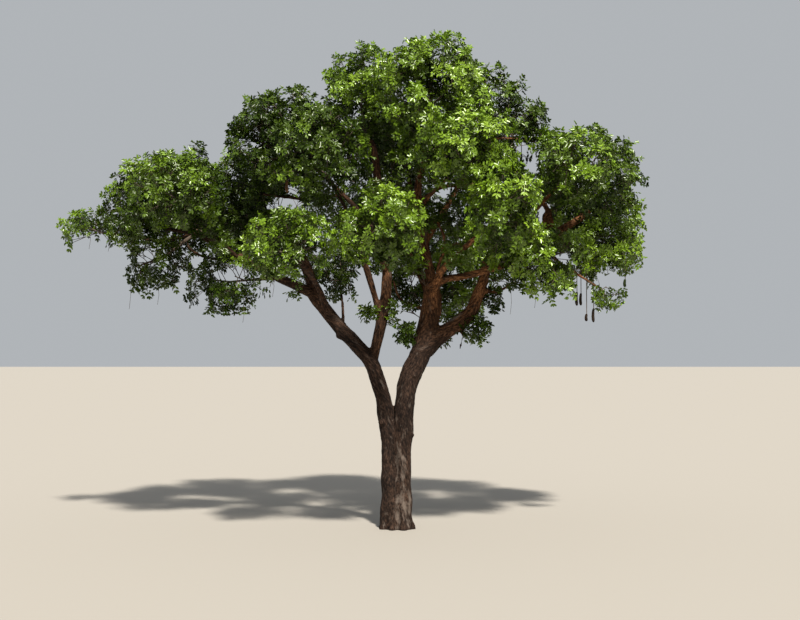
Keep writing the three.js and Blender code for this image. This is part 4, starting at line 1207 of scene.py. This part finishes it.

# The heavy sausage-shaped fruits hang on long cords from forks inside the crown. Each row is a fruit: its
# mass, its neck, its length and its state. Most are dark with painted shade, one is green, and one is pale
# with painted sunlight.
FRUITS = [
    ("east_low", (4.84, 0.6, 6.22), 0.38, "shaded_dark"),
    ("east_low", (4.99, 0.85, 6.2), 0.34, "shaded_dark"),
    ("east_low", (5.08, 0.5, 5.62), 0.2, "shaded_dark"),
    ("east_low", (5.31, 0.75, 5.78), 0.38, "shaded_dark"),
    ("east_low", (6.14, 0.6, 6.56), 0.22, "green"),
    ("northwest", (-2.86, -0.4, 9.1), 0.36, "sunlit_pale"),
    ("top_east", (3.4, 0.9, 9.95), 0.3, "shaded_dark"),
]
# The dark skins are painted shade and the pale one painted sunlight.
FRUIT_COLOURS = {
    "shaded_dark": (0.024, 0.016, 0.011),
    "green": (0.03, 0.045, 0.014),
    "sunlit_pale": (0.22, 0.12, 0.06),
}
FRUIT_ROUGHNESS = 0.85
FRUIT_GLOSS = 0.1
# Share of a fruit's length down from its neck, and share of its greatest radius there.
FRUIT_PROFILE = [
    (0, 0.2), (0.04, 0.55), (0.12, 0.78), (0.3, 0.88), (0.55, 0.96), (0.78, 1), (0.92, 0.78),
    (0.985, 0.4), (1, 0.1),
]
FRUIT_RADIUS = 0.041
FRUIT_BEND = (0.02, 3)  # how far a fruit bends aside, and through how much of a wave, in radians
FRUIT_SIDES = 14
CORD_RADIUS = 0.011
CORD_BEND = 0.75  # of the way up to its fork, where a cord starts to hang straight
CORD_SUNK = 0.02
CORD_SIDES = 6
shapes = []
cords = []
for name, top, length, _ in FRUITS:
    neck = np.array(top)
    above = [fork for fork in foliage[name].forks if fork[2] > neck[2]]
    fork = min(above, key=lambda at: math.hypot(at[0] - neck[0], at[1] - neck[1]))
    bend = np.array([neck[0], neck[1], neck[2] + (fork[2] - neck[2]) * CORD_BEND])
    cord = np.array([fork, bend, neck, neck - (0, 0, CORD_SUNK)])
    cords.append(tube(cord, [CORD_RADIUS] * len(cord), CORD_SIDES))
    aside, wave = FRUIT_BEND
    steps = [(aside * math.sin(wave * share), 0, share * length) for share, _ in FRUIT_PROFILE]
    radii = [wide * FRUIT_RADIUS for _, wide in FRUIT_PROFILE]
    shapes.append(tube(neck - np.array(steps), radii, FRUIT_SIDES))
fruits = mesh_piece("fruits", *joined(shapes))
for state, colour in FRUIT_COLOURS.items():
    fruit_skin = glossy_material("fruit_skin_" + state, colour, FRUIT_ROUGHNESS, FRUIT_GLOSS)
    fruits.data.materials.append(fruit_skin)
faces_each = len(fruits.data.polygons) // len(FRUITS)
states = [list(FRUIT_COLOURS).index(state) for *_, state in FRUITS]
fruits.data.polygons.foreach_set("material_index", np.repeat(states, faces_each))
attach(fruits, "root")

# Bare cords that have dropped their flowers or fruits hang below the crown's edge, each from the nearest
# twig of its mass: the mass, the tip and the length of each.
BARE_CORDS = [
    ("west_tip", (-8.1, -0.1, 7.3), 0.45),
    ("west_tip", (-7.65, 0.1, 7.25), 0.4),
    ("west_droop", (-7.05, 0.0, 5.72), 0.7),
    ("west_droop", (-6.35, 0.2, 5.85), 0.5),
    ("west_hang", (-4.0, -0.4, 5.35), 0.45),
    ("front_west", (-3.5, -2.2, 5.95), 0.5),
    ("front_west", (-3.0, -2.4, 5.9), 0.5),
    ("southeast", (2.9, -0.8, 5.55), 0.6),
    ("southeast", (3.5, -1.0, 5.7), 0.5),
    ("east_low", (5.35, 0.2, 5.6), 0.8),
    ("tuft_east", (1.9, -0.3, 4.75), 0.3),
]
BARE_CORD_RADIUS = 0.005
BARE_CORD_SIDES = 3
BARE_CORD_LEAN = 0.02  # over its length
BARE_CORD_SWAY = 0.025
for name, tip, length in BARE_CORDS:
    low = np.array(tip)
    high = low + (BARE_CORD_LEAN, 0, length)
    whorls = [place for place, *_ in foliage[name].whorls]
    nearest = min(whorls, key=lambda at: np.linalg.norm(at - high))
    middle = (low + high) / 2 + (BARE_CORD_SWAY, 0, 0)
    cord = np.array([nearest, high, middle, low])
    cords.append(tube(cord, [BARE_CORD_RADIUS] * len(cord), BARE_CORD_SIDES))
fruit_cords = mesh_piece("fruit_cords", *joined(cords))
fruit_cords.data.materials.append(twig_material)
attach(fruit_cords, "root")

boxes = {"cad": cad_box, "visual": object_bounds()}
{name: [list(corner) for corner in box] for name, box in boxes.items()}
